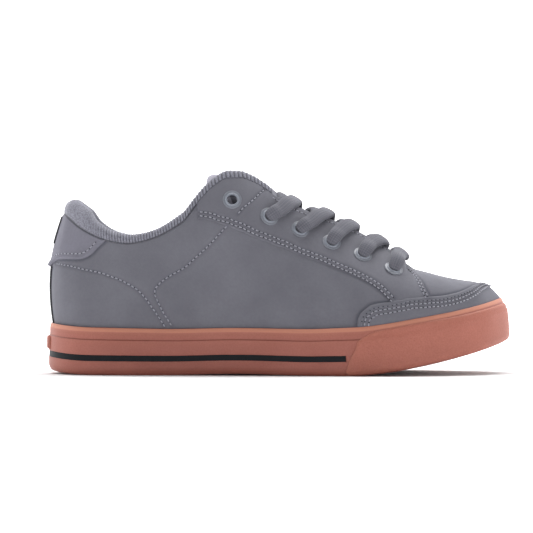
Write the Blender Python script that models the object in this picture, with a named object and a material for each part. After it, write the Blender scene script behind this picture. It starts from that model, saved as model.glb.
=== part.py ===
"""A low skateboarding shoe for the right foot, as separate solids.

A gum rubber cupsole holds a hollow upper with a padded collar and tongue. Units are metres.
The toe points to +X, the outer side of the foot faces -Y, and the shoe stands on Z = 0.

A place on the sole or the upper is given by two shares. The station runs round the shoe: 0 at
the back of the heel, 1 or -1 at the tip of the toe, above 0 on the outer side and below 0 on the
inner side. The share runs up the wall: 0 at the sole's top edge and 1 at the top of the upper,
which is the collar's edge, the throat's edge or the ridge over the toes. A share of -1 is the
upper's foot, tucked into the cup of the sole.
"""

import math

import bpy
import numpy as np

# Sizes of the last
SOLE_LENGTH = 0.285
BALL_WIDTH = 0.1052
HEEL_HEIGHT = 0.098
INSTEP_HEIGHT = 0.1204
TOE_HEIGHT = 0.057

# Sizes of the sole
SIDEWALL_HEIGHT = 0.0285
HEEL_SPRING = 0.0022
ARCH_RISE = 0.0009
TOE_SPRING = 0.020
TOE_LEAN = 0.0028
RIM_WIDTH = 0.0026
EDGE_ROUND = 0.0032
STRIPE_DEPTH = 0.0009
BAND_STEP = 0.0005
TOP_CHAMFER = 0.0008
HEEL_FLOOR = 0.014
FOREFOOT_FLOOR = 0.0095
GROOVE_WIDTH = 0.003
GROOVE_DEPTH = 0.0016
GROOVE_MARGIN = 0.011
GROOVE_BOW = 0.004

# Thicknesses of sheets and pads
WALL = 0.002
OVERLAY = 0.0012
BUMPER_THICKNESS = 0.0012
PLATE_THICKNESS = 0.0012
STRIP_THICKNESS = 0.0008
INSOLE_THICKNESS = 0.0045
INSOLE_TAPER = 0.0006
TONGUE_THICKNESS = 0.0055
TONGUE_WING = 0.011
TONGUE_SWEEP = 0.006
TONGUE_SHIFT = 0.001
COLLAR_THICKNESS = 0.0095
COLLAR_ROLL = 0.0155
COLLAR_DEPTH = 0.03
PAD_SKIN = 0.001
GAP = 0.0003
OVERLAY_GAP = 0.0004
REGION_MARGIN = 0.001

# Eyelets and laces
EYELET_HOLE = 0.0031
EYELET_BARREL = 0.0039
EYELET_FLANGE = 0.0058
FLANGE_HEIGHT = 0.0009
BEAD_WIDTH = 0.0008
BEAD_DIP = 0.0004
BARREL_DEPTH = 0.0008
HOLE_REACH = 0.0055
LACE_WIDTH = 0.0084
LACE_THICKNESS = 0.0040
LACED_ROWS = 5
LACE_STUB = (0.56, 0.12)
LACE_CLEARANCE = (-0.0028, 0.0004, 0.0032, 0.0038, 0.0046)

# Counts of facets round a piece, and places shared by several pieces
COLUMNS = 30
EYELET_SIDES = 8
LACE_SIDES = 6
UPPER_SHARES = (-1.0, 0.0, 0.13, 0.27, 0.42, 0.57, 0.72, 0.87, 1.0)
LEAST_STEP = 0.004
COLLAR_END = 0.488
OVERLAY_TOP = 1.04
BRIDGE_HOLD = 0.28
ROUNDING_IN = 0.012


def table(names, rows):
    """A table as a dict from the name of each column to its values."""
    return dict(zip(names.split(), np.array(rows, float).T))


# The widest outline of the sole, seen from above: shares of SOLE_LENGTH and BALL_WIDTH
PLAN = table("along lateral medial", (
    (0.00, 0.000, 0.000),
    (0.02, 0.190, 0.190),
    (0.06, 0.296, 0.300),
    (0.14, 0.355, 0.359),
    (0.28, 0.367, 0.350),
    (0.40, 0.394, 0.338),
    (0.50, 0.439, 0.372),
    (0.60, 0.481, 0.436),
    (0.68, 0.500, 0.484),
    (0.75, 0.490, 0.500),
    (0.82, 0.448, 0.484),
    (0.88, 0.378, 0.430),
    (0.94, 0.264, 0.346),
    (0.98, 0.112, 0.240),
    (1.00, -0.066, 0.066),
))

# Height of the side wall from the ground line up, as a share of SIDEWALL_HEIGHT
WALL_LINE = table("along height", (
    (0.00, 1.030),
    (0.05, 1.025),
    (0.12, 1.010),
    (0.35, 0.975),
    (0.55, 0.985),
    (0.68, 1.030),
    (0.78, 1.045),
    (0.88, 1.010),
    (0.95, 0.985),
    (1.00, 0.980),
))

# How far the side wall leans in at its top, as a share of TOE_LEAN
LEAN = table("station lean", (
    (0.00, 0.10),
    (0.25, 0.25),
    (0.60, 0.30),
    (0.75, 0.42),
    (0.88, 0.78),
    (1.00, 1.00),
))

# The side wall's profile: shares of its height, of EDGE_ROUND, STRIPE_DEPTH, BAND_STEP, TOP_CHAMFER
PROFILE = table("height round groove step chamfer", (
    (0.000, 1.00, 0, 0, 0.0),
    (0.080, 0.12, 0, 0, 0.0),
    (0.160, 0.00, 0, 0, 0.0),
    (0.295, 0.00, 0, 0, 0.0),
    (0.295, 0.00, 1, 0, 0.0),
    (0.421, 0.00, 1, 0, 0.0),
    (0.421, 0.00, 0, 0, 0.0),
    (0.737, 0.00, 0, 0, 0.0),
    (0.748, 0.00, 0, 1, 0.0),
    (0.915, 0.00, 0, 1, 0.0),
    (0.965, 0.00, 0, 1, 0.4),
    (1.000, 0.00, 0, 1, 1.0),
))

# Where the flex grooves cross the tread, as shares of SOLE_LENGTH
TREAD = (0.10, 0.16, 0.22, 0.56, 0.62, 0.68, 0.74, 0.80)

# The upper's top edge: shares of SOLE_LENGTH, of BALL_WIDTH for both sides, and of the last's
# height there, with the inner side's extra height
TOPLINE = table("station along lateral medial height rise", (
    (0.0000, 0.0365, 0.0000, 0.0000, 1.0080, 0.000),
    (0.0900, 0.0435, 0.0998, 0.0998, 0.9890, 0.003),
    (0.1575, 0.0700, 0.1901, 0.1901, 0.9214, 0.005),
    (0.2048, 0.1000, 0.2452, 0.2424, 0.8704, 0.005),
    (0.2443, 0.1372, 0.2785, 0.2709, 0.8316, 0.005),
    (0.2952, 0.1930, 0.3023, 0.2871, 0.8091, 0.005),
    (0.3330, 0.2404, 0.3061, 0.2871, 0.7986, 0.005),
    (0.3690, 0.2930, 0.2994, 0.2804, 0.8213, 0.005),
    (0.3860, 0.3175, 0.2899, 0.2738, 0.8731, 0.005),
    (0.4030, 0.3404, 0.2804, 0.2690, 0.9208, 0.005),
    (0.4200, 0.3649, 0.2681, 0.2633, 0.9630, 0.003),
    (0.4360, 0.3912, 0.2567, 0.2567, 0.9934, 0.003),
    (0.4520, 0.4175, 0.2433, 0.2490, 0.9950, 0.003),
    (0.4680, 0.4439, 0.2300, 0.2395, 0.9751, 0.003),
    (0.4840, 0.4702, 0.2129, 0.2281, 0.9402, 0.003),
    (0.5000, 0.4982, 0.1930, 0.2120, 0.8937, 0.003),
    (0.5320, 0.5509, 0.1711, 0.1949, 0.8556, 0.003),
    (0.5641, 0.6053, 0.1540, 0.1825, 0.8818, 0.003),
    (0.5970, 0.6579, 0.1378, 0.1692, 0.9364, 0.002),
    (0.6310, 0.7105, 0.1160, 0.1521, 1.0084, 0.002),
    (0.6550, 0.7456, 0.0884, 0.1283, 1.0607, 0.000),
    (0.6680, 0.7632, 0.0570, 0.0998, 1.0811, 0.000),
    (0.6770, 0.7723, 0.0209, 0.0684, 1.0945, 0.000),
    (0.6820, 0.7758, -0.0238, 0.0238, 1.1028, 0.000),
    (0.7000, 0.7867, -0.0257, 0.0257, 1.1340, 0.000),
    (0.7500, 0.8193, -0.0333, 0.0333, 1.1018, 0.000),
    (0.8000, 0.8526, -0.0418, 0.0418, 1.0579, 0.000),
    (0.8500, 0.8807, -0.0494, 0.0494, 1.0281, 0.000),
    (0.9000, 0.9018, -0.0551, 0.0551, 1.0105, 0.000),
    (0.9500, 0.9140, -0.0589, 0.0589, 1.0018, 0.000),
    (1.0000, 0.9175, -0.0599, 0.0599, 1.0000, 0.000),
))
THROAT_END = 0.682

# The upper's sections: the wall's lean out at its foot and in at its top, in degrees, and how far
# each of them holds, as a share of the chord
SECTION = table("station foot_lean top_lean foot_hold top_hold", (
    (0.00, 9.0, 19.0, 0.45, 0.35),
    (0.10, 10.0, 16.0, 0.42, 0.34),
    (0.20, 10.0, 10.0, 0.38, 0.33),
    (0.30, 11.0, 7.0, 0.35, 0.33),
    (0.38, 8.0, 16.0, 0.35, 0.30),
    (0.44, 4.0, 28.0, 0.36, 0.26),
    (0.50, 3.0, 42.0, 0.38, 0.26),
    (0.56, 3.0, 52.0, 0.40, 0.28),
    (0.62, 3.0, 64.0, 0.42, 0.32),
    (0.67, 3.0, 84.0, 0.46, 0.42),
    (0.72, 0.0, 90.0, 0.46, 0.48),
    (0.80, -12.0, 90.0, 0.42, 0.50),
    (0.90, -30.0, 90.0, 0.36, 0.48),
    (1.00, -42.0, 90.0, 0.34, 0.44),
))

# The collar's pad round the ankle: shares of COLLAR_ROLL, COLLAR_THICKNESS and COLLAR_DEPTH
COLLAR = table("station roll thickness depth", (
    (0.000, 0.61, 1.00, 1.00),
    (0.080, 0.74, 1.00, 1.00),
    (0.140, 0.92, 1.00, 0.95),
    (0.180, 0.95, 1.00, 0.92),
    (0.215, 0.66, 0.95, 0.90),
    (0.260, 0.43, 0.88, 0.85),
    (0.330, 0.33, 0.74, 0.72),
    (0.375, 0.41, 0.60, 0.50),
    (0.400, 0.41, 0.52, 0.28),
    (0.450, 0.38, 0.44, 0.18),
    (0.490, 0.34, 0.38, 0.15),
))

# The pad's section. Above the upper's edge: shares of the roll and of the thickness inwards.
# Below it: shares of the depth and of the thickness
ROLL_SECTION = ((0.05, 0.02), (0.40, -0.09), (0.75, -0.02), (1.00, 0.35), (0.86, 0.76), (0.45, 1.0))
LINING_SECTION = ((0.25, 1.00), (0.70, 0.85), (1.00, 0.38))

# The tongue above the laces: its middle line, with half its width and the drop to its edges
TONGUE_TOP = table("along height half_width drop", (
    (0.466, 0.972, 0.160, 0.060),
    (0.420, 0.997, 0.172, 0.135),
    (0.375, 1.011, 0.178, 0.165),
    (0.343, 1.015, 0.166, 0.120),
))
TONGUE_STATIONS = (0.705, 0.69, 0.672, 0.655, 0.63, 0.60, 0.57, 0.54, 0.515)

# Eyelets from the toe up: where each one sits on the upper
EYELETS = table("station share", (
    (0.6590, 0.575),
    (0.6130, 0.680),
    (0.5700, 0.715),
    (0.5290, 0.765),
    (0.4885, 0.755),
    (0.4405, 0.815),
))

# The heel tab: its lower edge at each station
HEEL_TAB = table("station share", (
    (0.0000, 0.480),
    (0.0300, 0.510),
    (0.0750, 0.570),
    (0.1410, 0.640),
    (0.1675, 0.677),
    (0.1890, 0.743),
    (0.2090, 0.835),
    (0.2235, 0.925),
    (0.2340, 0.985),
))

# The toe guard: its upper edge at each station, from its rear end to the tip
TOE_GUARD = table("station share", (
    (0.6075, 0.045),
    (0.6125, 0.108),
    (0.6192, 0.138),
    (0.6290, 0.168),
    (0.6450, 0.182),
    (0.6650, 0.188),
    (0.7150, 0.188),
    (0.7525, 0.192),
    (0.7750, 0.212),
    (0.7942, 0.245),
    (0.8183, 0.310),
    (0.8517, 0.452),
    (0.9083, 0.650),
    (1.0000, 0.715),
))

# The eyestay from the collar to the toe guard: its lower and its upper edge
EYESTAY = table("low_station low_share high_station high_share", (
    (0.3940, 0.860, 0.3920, 1.040),
    (0.4125, 0.735, 0.4060, 1.040),
    (0.4310, 0.640, 0.4240, 1.040),
    (0.4500, 0.592, 0.4480, 1.040),
    (0.4755, 0.555, 0.4740, 1.040),
    (0.5015, 0.555, 0.5000, 1.040),
    (0.5250, 0.538, 0.5250, 1.040),
    (0.5530, 0.505, 0.5530, 1.040),
    (0.5845, 0.453, 0.5845, 1.040),
    (0.6170, 0.392, 0.6170, 1.040),
    (0.6375, 0.320, 0.6380, 1.040),
    (0.6520, 0.245, 0.6550, 0.975),
    (0.6680, 0.208, 0.6660, 0.965),
    (0.6950, 0.206, 0.6740, 0.940),
    (0.7165, 0.210, 0.6810, 0.900),
))

# The rubber toe bumper: its upper edge on the side wall at each station
BUMPER = table("station height", (
    (0.5920, 0.120),
    (0.5960, 0.300),
    (0.6037, 0.520),
    (0.6188, 0.800),
    (0.6386, 0.885),
    (0.6600, 0.900),
    (0.8000, 0.885),
    (1.0000, 0.860),
))
STRIPE_END = 0.590
STRIPE_LOW, STRIPE_HIGH = 0.300, 0.416
HEEL_PLATE = (0.050, 0.45, 0.72)
HEEL_STRIP = (0.034, 0.02, 0.46)
HEEL_PATCH = (0.034, 0.70, 0.97)

# Base colour and roughness of each material
FINISHES = {
    "nubuck": ((0.190, 0.190, 0.226), 0.85),
    "knit": ((0.235, 0.237, 0.282), 0.95),
    "lace": ((0.185, 0.187, 0.216), 0.90),
    "gum": ((0.400, 0.150, 0.108), 0.60),
    "black_rubber": ((0.013, 0.014, 0.018), 0.50),
    "webbing": ((0.013, 0.014, 0.018), 0.80),
    "insole_cloth": ((0.150, 0.150, 0.175), 0.90),
    "eyelet": ((0.180, 0.192, 0.227), 0.40),
}


def curve(knots, values, at, tight=True):
    """A smooth curve through the values. A tight one never swings past them."""
    step = np.diff(knots)
    rise = np.diff(values) / step
    before, after = rise[:-1], rise[1:]
    if tight:
        same = before * after > 0
        total = np.where(same, before + after, 1.0)
        inner = np.where(same, 2.0 * before * after / total, 0.0)
    else:
        inner = (step[1:] * before + step[:-1] * after) / (step[:-1] + step[1:])
    slope = np.concatenate(([rise[0]], inner, [rise[-1]]))
    k = np.clip(np.searchsorted(knots, at, side="right") - 1, 0, len(step) - 1)
    t = np.clip((at - knots[k]) / step[k], 0.0, 1.0)
    start = values[k] + t * step[k] * slope[k]
    rest = values[k + 1] - values[k] - step[k] * slope[k]
    turn = step[k] * (slope[k + 1] - slope[k])
    return start + rest * t * t * (3 - 2 * t) + turn * t * t * (t - 1)


def ring_curve(stations, lateral, medial, at, tight=True):
    """A smooth curve all round the shoe, closed at the tip of the toe."""
    knots = np.concatenate((-stations[:0:-1], stations))
    values = np.concatenate((medial[:0:-1], lateral))
    knots = np.concatenate((knots[-4:-1] - 2, knots, knots[1:4] + 2))
    values = np.concatenate((values[-4:-1], values, values[1:4]))
    return curve(knots, values, wrapped(at), tight)


def wrapped(station):
    """The same station within -1 and 1."""
    return (np.asarray(station, float) + 1) % 2 - 1


def smooth_step(low, high, at):
    t = np.clip((at - low) / (high - low), 0, 1)
    return t * t * (3 - 2 * t)


def outline(station):
    """The widest outline of the sole in plan."""
    stations = np.arccos(1 - 2 * PLAN["along"]) / math.pi
    side = ring_curve(stations, -PLAN["lateral"], PLAN["medial"], station, tight=False)
    x = -SOLE_LENGTH / 2 * np.cos(math.pi * wrapped(station))
    return np.stack((x, BALL_WIDTH * side), -1)


def plan_inward(station):
    """The direction in plan that points into the shoe."""
    ahead = outline(station + 0.002) - outline(station - 0.002)
    turned = np.stack((-ahead[..., 1], ahead[..., 0]), -1)
    return turned / np.linalg.norm(turned, axis=-1, keepdims=True)


def along(x):
    return np.clip(x / SOLE_LENGTH + 0.5, 0, 1)


def ground_line(x):
    """The underside of the sole: flat under heel and ball, raised at back, arch and toe."""
    share = along(x)
    heel = HEEL_SPRING * np.clip(1 - share / 0.10, 0, 1) ** 2
    arch = ARCH_RISE * np.sin(math.pi * np.clip((share - 0.24) / 0.34, 0, 1)) ** 2
    toe = TOE_SPRING * np.clip((share - 0.66) / 0.34, 0, 1) ** 1.5
    return heel + arch + toe


def top_line(x):
    """The top edge of the side wall."""
    return ground_line(x) + SIDEWALL_HEIGHT * curve(WALL_LINE["along"], WALL_LINE["height"], along(x))


def cup_floor(x):
    """The floor inside the cup, which carries the insole and the upper."""
    thickness = HEEL_FLOOR + (FOREFOOT_FLOOR - HEEL_FLOOR) * smooth_step(0.25, 0.65, along(x))
    return ground_line(x) + thickness


def lean_in(station, height):
    lean = curve(LEAN["station"], LEAN["lean"], np.abs(wrapped(station)))
    return TOE_LEAN * lean * height**2


def side_point(station, height, inset=0.0):
    """A point on the side wall, which leans in. The inset is measured in plan."""
    station = np.asarray(station, float)
    height = np.asarray(height, float)
    depth = inset + lean_in(station, height)
    place = outline(station) + plan_inward(station) * np.asarray(depth)[..., None]
    x = place[..., 0]
    low = ground_line(x)
    z = low + (top_line(x) - low) * height
    return np.concatenate((place, z[..., None]), -1)


def wall_inset():
    """From the sole's outline to the upper's outer face, apart from the lean."""
    return RIM_WIDTH + GAP


def last_height(station):
    """The last's own height at a station, between its heel, instep and toe."""
    station = np.abs(wrapped(station))
    heel_to_instep = smooth_step(0.27, 0.43, station)
    instep_to_toe = smooth_step(0.50, 0.72, station)
    height = HEEL_HEIGHT + (INSTEP_HEIGHT - HEEL_HEIGHT) * heel_to_instep
    return height + (TOE_HEIGHT - INSTEP_HEIGHT) * instep_to_toe


def top_edge(station):
    """The upper's top edge: collar, throat, and the ridge over the toes."""
    rows = TOPLINE
    x = ring_curve(rows["station"], rows["along"], rows["along"], station)
    side = ring_curve(rows["station"], -rows["lateral"], rows["medial"], station)
    raised = rows["height"] + rows["rise"]
    height = ring_curve(rows["station"], rows["height"], raised, station)
    return np.stack((SOLE_LENGTH * (x - 0.5), BALL_WIDTH * side, last_height(station) * height), -1)


def section_value(name, station):
    return curve(SECTION["station"], SECTION[name], np.abs(wrapped(station)))


def unit(vector):
    return vector / np.linalg.norm(vector, axis=-1, keepdims=True)


def upper_face(station, share):
    """The upper's outer face, before any thickness."""
    station, share = np.broadcast_arrays(np.asarray(station, float), np.asarray(share, float))
    foot = side_point(station, 1.0, wall_inset())
    top = top_edge(station)
    up = np.array((0.0, 0.0, 1.0))
    inward = np.concatenate((plan_inward(station), np.zeros(station.shape + (1,))), -1)
    level = (top - foot) * np.array((1.0, 1.0, 0.0))
    towards = unit(level + inward * ROUNDING_IN)
    near = np.minimum(np.abs(wrapped(station)), 0.95)
    run = top_edge(near + 0.01) - top_edge(near - 0.01)
    slope = run[..., 2] / np.maximum(run[..., 0], 0.0005) * smooth_step(0.55, 0.68, near)
    towards = towards + up * (slope * towards[..., 0])[..., None]
    chord = np.linalg.norm(top - foot, axis=-1)
    foot_lean = np.radians(section_value("foot_lean", station))[..., None]
    top_lean = np.radians(section_value("top_lean", station))[..., None]
    foot_hold = (section_value("foot_hold", station) * chord)[..., None]
    top_hold = (section_value("top_hold", station) * chord)[..., None]
    low = foot + (np.cos(foot_lean) * up - np.sin(foot_lean) * inward) * foot_hold
    high = top - (np.cos(top_lean) * up + np.sin(top_lean) * towards) * top_hold
    t = np.clip(share, 0, 1)[..., None]
    face = foot * (1 - t) ** 3 + 3 * low * t * (1 - t) ** 2 + 3 * high * t * t * (1 - t) + top * t**3
    tucked = np.clip(-share, 0, 1)
    drop = (foot[..., 2] - cup_floor(foot[..., 0]) - GAP) * tucked
    beyond = np.clip(share - 1, 0, 1) * chord
    return face - up * drop[..., None] + unit(top - high) * beyond[..., None]


def upper_normal(station, share):
    """The direction out of the upper's face."""
    station, share = np.broadcast_arrays(np.asarray(station, float), np.asarray(share, float))
    share = np.where(share > 0, np.clip(share, 0.01, 0.985), share)
    round_it = upper_face(station + 0.003, share) - upper_face(station - 0.003, share)
    up_it = upper_face(station, share + 0.01) - upper_face(station, share - 0.01)
    outward = np.cross(round_it, up_it)
    ridge = (share > 0.98) & (np.abs(wrapped(station)) > THROAT_END - 0.001)
    other = outward * np.array((1.0, -1.0, 1.0))
    outward = np.where(ridge[..., None], outward + other, outward)
    return unit(outward)


def upper_point(station, share, height=0.0):
    """A point at a height off the upper's outer face; a depth is a height below 0."""
    return upper_face(station, share) + upper_normal(station, share) * np.asarray(height)[..., None]


def wall_length(station):
    """The length of the wall from the sole's top edge to the upper's top edge."""
    return np.linalg.norm(top_edge(station) - side_point(station, 1.0, wall_inset()), axis=-1)


def bridge(station, across):
    """Over the instep: 0 is the throat's middle, -0.5 and 0.5 are its outer and inner edge, and
    beyond them the rest is a share of the wall."""
    station, across = np.broadcast_arrays(np.asarray(station, float), np.asarray(across, float))
    side = np.where(across < 0, 1.0, -1.0)
    on_wall = upper_face(station * side, 1.5 - np.maximum(np.abs(across), 0.5))
    left, right = top_edge(station), top_edge(-station)
    span = np.linalg.norm(right - left, axis=-1, keepdims=True) * BRIDGE_HOLD
    first = left + unit(left - upper_face(station, 0.97)) * span
    second = right + unit(right - upper_face(-station, 0.97)) * span
    t = np.clip(across + 0.5, 0, 1)[..., None]
    over = left * (1 - t) ** 3 + 3 * first * t * (1 - t) ** 2
    over = over + 3 * second * t * t * (1 - t) + right * t**3
    return np.where((np.abs(across) > 0.5)[..., None], on_wall, over)


def bridge_point(station, across, height=0.0):
    """A point at a height off the instep, throat included."""
    station, across = np.broadcast_arrays(np.asarray(station, float), np.asarray(across, float))
    forward = bridge(station + 0.004, across) - bridge(station - 0.004, across)
    step = np.where(np.abs(across) < 0.2, 0.56, 0.03)
    over = bridge(station, across + step) - bridge(station, across - step)
    return bridge(station, across) + unit(np.cross(forward, over)) * np.asarray(height)[..., None]


def material(name):
    found = bpy.data.materials.get(name)
    if found:
        return found
    made = bpy.data.materials.new(name)
    made.use_nodes = True
    shader = made.node_tree.nodes["Principled BSDF"]
    colour, roughness = FINISHES[name]
    shader.inputs["Base Color"].default_value = (*colour, 1)
    shader.inputs["Roughness"].default_value = roughness
    shader.inputs["Metallic"].default_value = 0.0
    made.diffuse_color = (*colour, 1)
    return made


def solid(name, finish, points, faces, smooth=True):
    """One named object from points and faces."""
    mesh = bpy.data.meshes.new(name)
    mesh.from_pydata([tuple(map(float, p)) for p in points], [], faces)
    mesh.validate()
    if smooth:
        mesh.shade_smooth()
        mesh.set_sharp_from_angle(angle=math.radians(40))
    made = bpy.data.objects.new(name, mesh)
    made.data.materials.append(material(finish))
    bpy.context.collection.objects.link(made)
    return made


def quads_between(first, second, closed=True):
    """Faces that join two rows of point numbers."""
    count = len(first)
    steps = range(count if closed else count - 1)
    return [(first[i], first[(i + 1) % count], second[(i + 1) % count], second[i]) for i in steps]


def ladder(ring):
    """Faces across a closed row whose first point is the heel and whose middle one is the toe."""
    count = len(ring)
    half = count // 2
    rungs = [(ring[i], ring[-i % count]) for i in range(half + 1)]
    faces = []
    for (a, b), (c, d) in zip(rungs, rungs[1:]):
        corners = [a, c, d, b]
        faces.append(tuple(dict.fromkeys(corners)))
    return faces


def column_stations():
    """The stations all round, evenly spaced, starting at the heel."""
    return np.linspace(0, 2, 2 * COLUMNS, endpoint=False)


def stack_of_rings(name, finish, rings):
    """A solid from closed rows of points, each joined to the next, with a ladder at both ends."""
    count = len(rings[0])
    numbers = [list(range(k * count, (k + 1) * count)) for k in range(len(rings))]
    faces = [tuple(reversed(f)) for f in ladder(numbers[0])]
    for low, high in zip(numbers, numbers[1:]):
        faces += quads_between(low, high)
    faces += ladder(numbers[-1])
    return solid(name, finish, np.concatenate(rings), faces)


def sheet(name, finish, outer, inner):
    """A closed sheet between two grids of points; outer runs round, then up."""
    rows, columns = outer.shape[:2]
    points = np.concatenate((outer.reshape(-1, 3), inner.reshape(-1, 3)))
    front = np.arange(rows * columns).reshape(rows, columns)
    back = front + rows * columns
    faces = []
    for i in range(rows - 1):
        for j in range(columns - 1):
            faces.append((front[i, j], front[i + 1, j], front[i + 1, j + 1], front[i, j + 1]))
            faces.append((back[i, j], back[i, j + 1], back[i + 1, j + 1], back[i + 1, j]))
    rim = [front[i, 0] for i in range(rows)] + [front[-1, j] for j in range(1, columns)]
    rim += [front[i, -1] for i in range(rows - 2, -1, -1)] + [front[0, j] for j in range(columns - 2, 0, -1)]
    other = [number + rows * columns for number in rim]
    faces += quads_between(other, rim)
    return solid(name, finish, points, [tuple(map(int, f)) for f in faces])


def wall_round(height):
    """The inset of the side wall's rounded lower edge, without its bands."""
    return EDGE_ROUND * np.interp(height, PROFILE["height"], PROFILE["round"])


def wall_sheet(name, finish, stations, heights, low, high):
    """A sheet on the side wall between two heights off it."""
    outer = side_point(stations, heights, wall_round(heights) - high)
    inner = side_point(stations, heights, wall_round(heights) - low)
    return sheet(name, finish, outer, inner)


def make_outsole():
    """The cupsole: tread, side wall with its bands, rim, and the cup inside."""
    stations = column_stations()
    p = PROFILE
    insets = EDGE_ROUND * p["round"] + STRIPE_DEPTH * p["groove"]
    insets = insets + BAND_STEP * p["step"] + TOP_CHAMFER * p["chamfer"]
    rings = [side_point(stations, h, i) for h, i in zip(p["height"], insets)]
    rings.append(side_point(stations, 1.0, RIM_WIDTH))
    floor = side_point(stations, 1.0, RIM_WIDTH)
    floor[:, 2] = cup_floor(floor[:, 0])
    rings.append(floor)
    sole = stack_of_rings("outsole", "gum", rings)
    for number, share in enumerate(TREAD):
        cut_by(sole, tread_groove(f"tread_groove_{number}", share))


def tread_groove(name, share):
    """A flex groove across the tread, bowed to the toe, clear of the edge."""
    x = SOLE_LENGTH * (share - 0.5)
    station = math.acos(1 - 2 * share) / math.pi
    low, high = outline(station)[1] + GROOVE_MARGIN, outline(-station)[1] - GROOVE_MARGIN
    points, faces = [], []
    sides = np.linspace(0, 1, 7)
    for side in sides:
        bow = x + GROOVE_BOW * math.sin(math.pi * side)
        for ahead, up in ((-0.5, 0), (0.5, 0), (0.5, 1), (-0.5, 1)):
            edge = bow + ahead * GROOVE_WIDTH
            level = float(ground_line(edge)) + (GROOVE_DEPTH if up else -GROOVE_DEPTH)
            points.append((edge, low + (high - low) * side, level))
    for k in range(0, 4 * len(sides) - 4, 4):
        faces += quads_between(range(k + 4, k + 8), range(k, k + 4))
    faces += [(0, 1, 2, 3), tuple(reversed(range(4 * len(sides) - 4, 4 * len(sides))))]
    return solid(name, "gum", points, faces, smooth=False)


def cut_by(body, cutter, operation="DIFFERENCE"):
    cutter.hide_render = True
    cutter.display_type = "WIRE"
    cut = body.modifiers.new(cutter.name, "BOOLEAN")
    cut.operation = operation
    cut.object = cutter
    cut.solver = "EXACT"


def make_sole_trim():
    """The black stripe in its groove, the toe bumper and the plate at the heel."""
    inner = [s for s in np.arange(-COLUMNS, COLUMNS + 1) / COLUMNS if abs(s) < STRIPE_END - LEAST_STEP]
    stations = np.array([-STRIPE_END, *inner, STRIPE_END])[:, None]
    heights = np.array((STRIPE_LOW, STRIPE_HIGH))
    wall_sheet("sidewall_stripe", "black_rubber", stations, heights, GAP - STRIPE_DEPTH, -GAP / 3)
    rear = BUMPER["station"][:5]
    inner = [s for s in np.arange(COLUMNS) / COLUMNS if s > rear[-1] + LEAST_STEP]
    side = np.concatenate((rear, inner))
    stations = np.concatenate((side, (1.0,), 2 - side[::-1]))[:, None]
    top = curve(BUMPER["station"], BUMPER["height"], np.abs(wrapped(stations)))
    low = np.minimum(0.16, top * 0.5 + 0.04)
    heights = np.concatenate((np.full_like(top, 0.08), low, (low + top) / 2, top), 1)
    wall_sheet("toe_bumper", "gum", stations, heights, GAP, GAP + BUMPER_THICKNESS)
    half, low, high = HEEL_PLATE
    stations = np.linspace(-half, half, 5)[:, None]
    wall_sheet("heel_plate", "gum", stations, np.array((low, high)), GAP, GAP + PLATE_THICKNESS)


def make_insole():
    """The footbed on the floor of the cup, inside the upper."""
    stations = column_stations()
    inset = wall_inset() + WALL + 2 * GAP
    rings = []
    for rise, trim in ((0, 0), (1, INSOLE_TAPER)):
        ring = side_point(stations, 1.0, inset + trim)
        ring[:, 2] = cup_floor(ring[:, 0]) + GAP + INSOLE_THICKNESS * rise
        rings.append(ring)
    stack_of_rings("insole", "insole_cloth", rings)


def upper_stations():
    """The upper's columns on one side, closer together round the end of the throat."""
    throat = (0.655, 0.668, 0.676, THROAT_END)
    even = [s for s in np.linspace(0, 1, COLUMNS + 1) if min(abs(s - t) for t in throat) > 0.008]
    return np.array(sorted(even + list(throat)))


def upper_layer(name, finish, high, low):
    """A wall between two heights off the upper's face: open at collar, throat and foot."""
    side = upper_stations()
    stations = np.concatenate((side, -side[-2:0:-1]))
    shares = np.array(UPPER_SHARES)
    outer = upper_point(stations[:, None], shares, high)
    inner = upper_point(stations[:, None], shares, low)
    columns, rows = outer.shape[:2]
    closed_top = np.abs(stations) >= THROAT_END - 1e-6
    points = np.concatenate((outer.reshape(-1, 3), inner.reshape(-1, 3)))

    def number(column, row, inside):
        if row == rows - 1 and closed_top[column]:
            column = min(column, -column % columns)
        return int(column * rows + row + inside * columns * rows)

    faces = []
    top = rows - 1
    for i in range(columns):
        j = (i + 1) % columns
        for k in range(top):
            out = [number(i, k, 0), number(j, k, 0), number(j, k + 1, 0), number(i, k + 1, 0)]
            within = [number(i, k, 1), number(i, k + 1, 1), number(j, k + 1, 1), number(j, k, 1)]
            for corners in (out, within):
                faces += [corners[:3], (corners[0], *corners[2:])]
        faces.append((number(i, 0, 1), number(j, 0, 1), number(j, 0, 0), number(i, 0, 0)))
        if not (closed_top[i] and closed_top[j]):
            faces.append((number(i, top, 0), number(j, top, 0), number(j, top, 1), number(i, top, 1)))
    used = sorted({n for f in faces for n in f})
    places = {old: new for new, old in enumerate(used)}
    return solid(name, finish, points[used], [tuple(places[n] for n in f) for f in faces])


def overlay(name, finish, stations, shares, base=OVERLAY_GAP, thickness=OVERLAY):
    """A layer over the upper, kept only inside a block that stands across its wall."""
    layer = upper_layer(name, finish, base + thickness, base)
    outer = upper_point(stations, shares, base + thickness + REGION_MARGIN)
    inner = upper_point(stations, shares, base - REGION_MARGIN)
    cut_by(layer, sheet(f"{name}_region", finish, outer, inner), "INTERSECT")
    return layer


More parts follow.
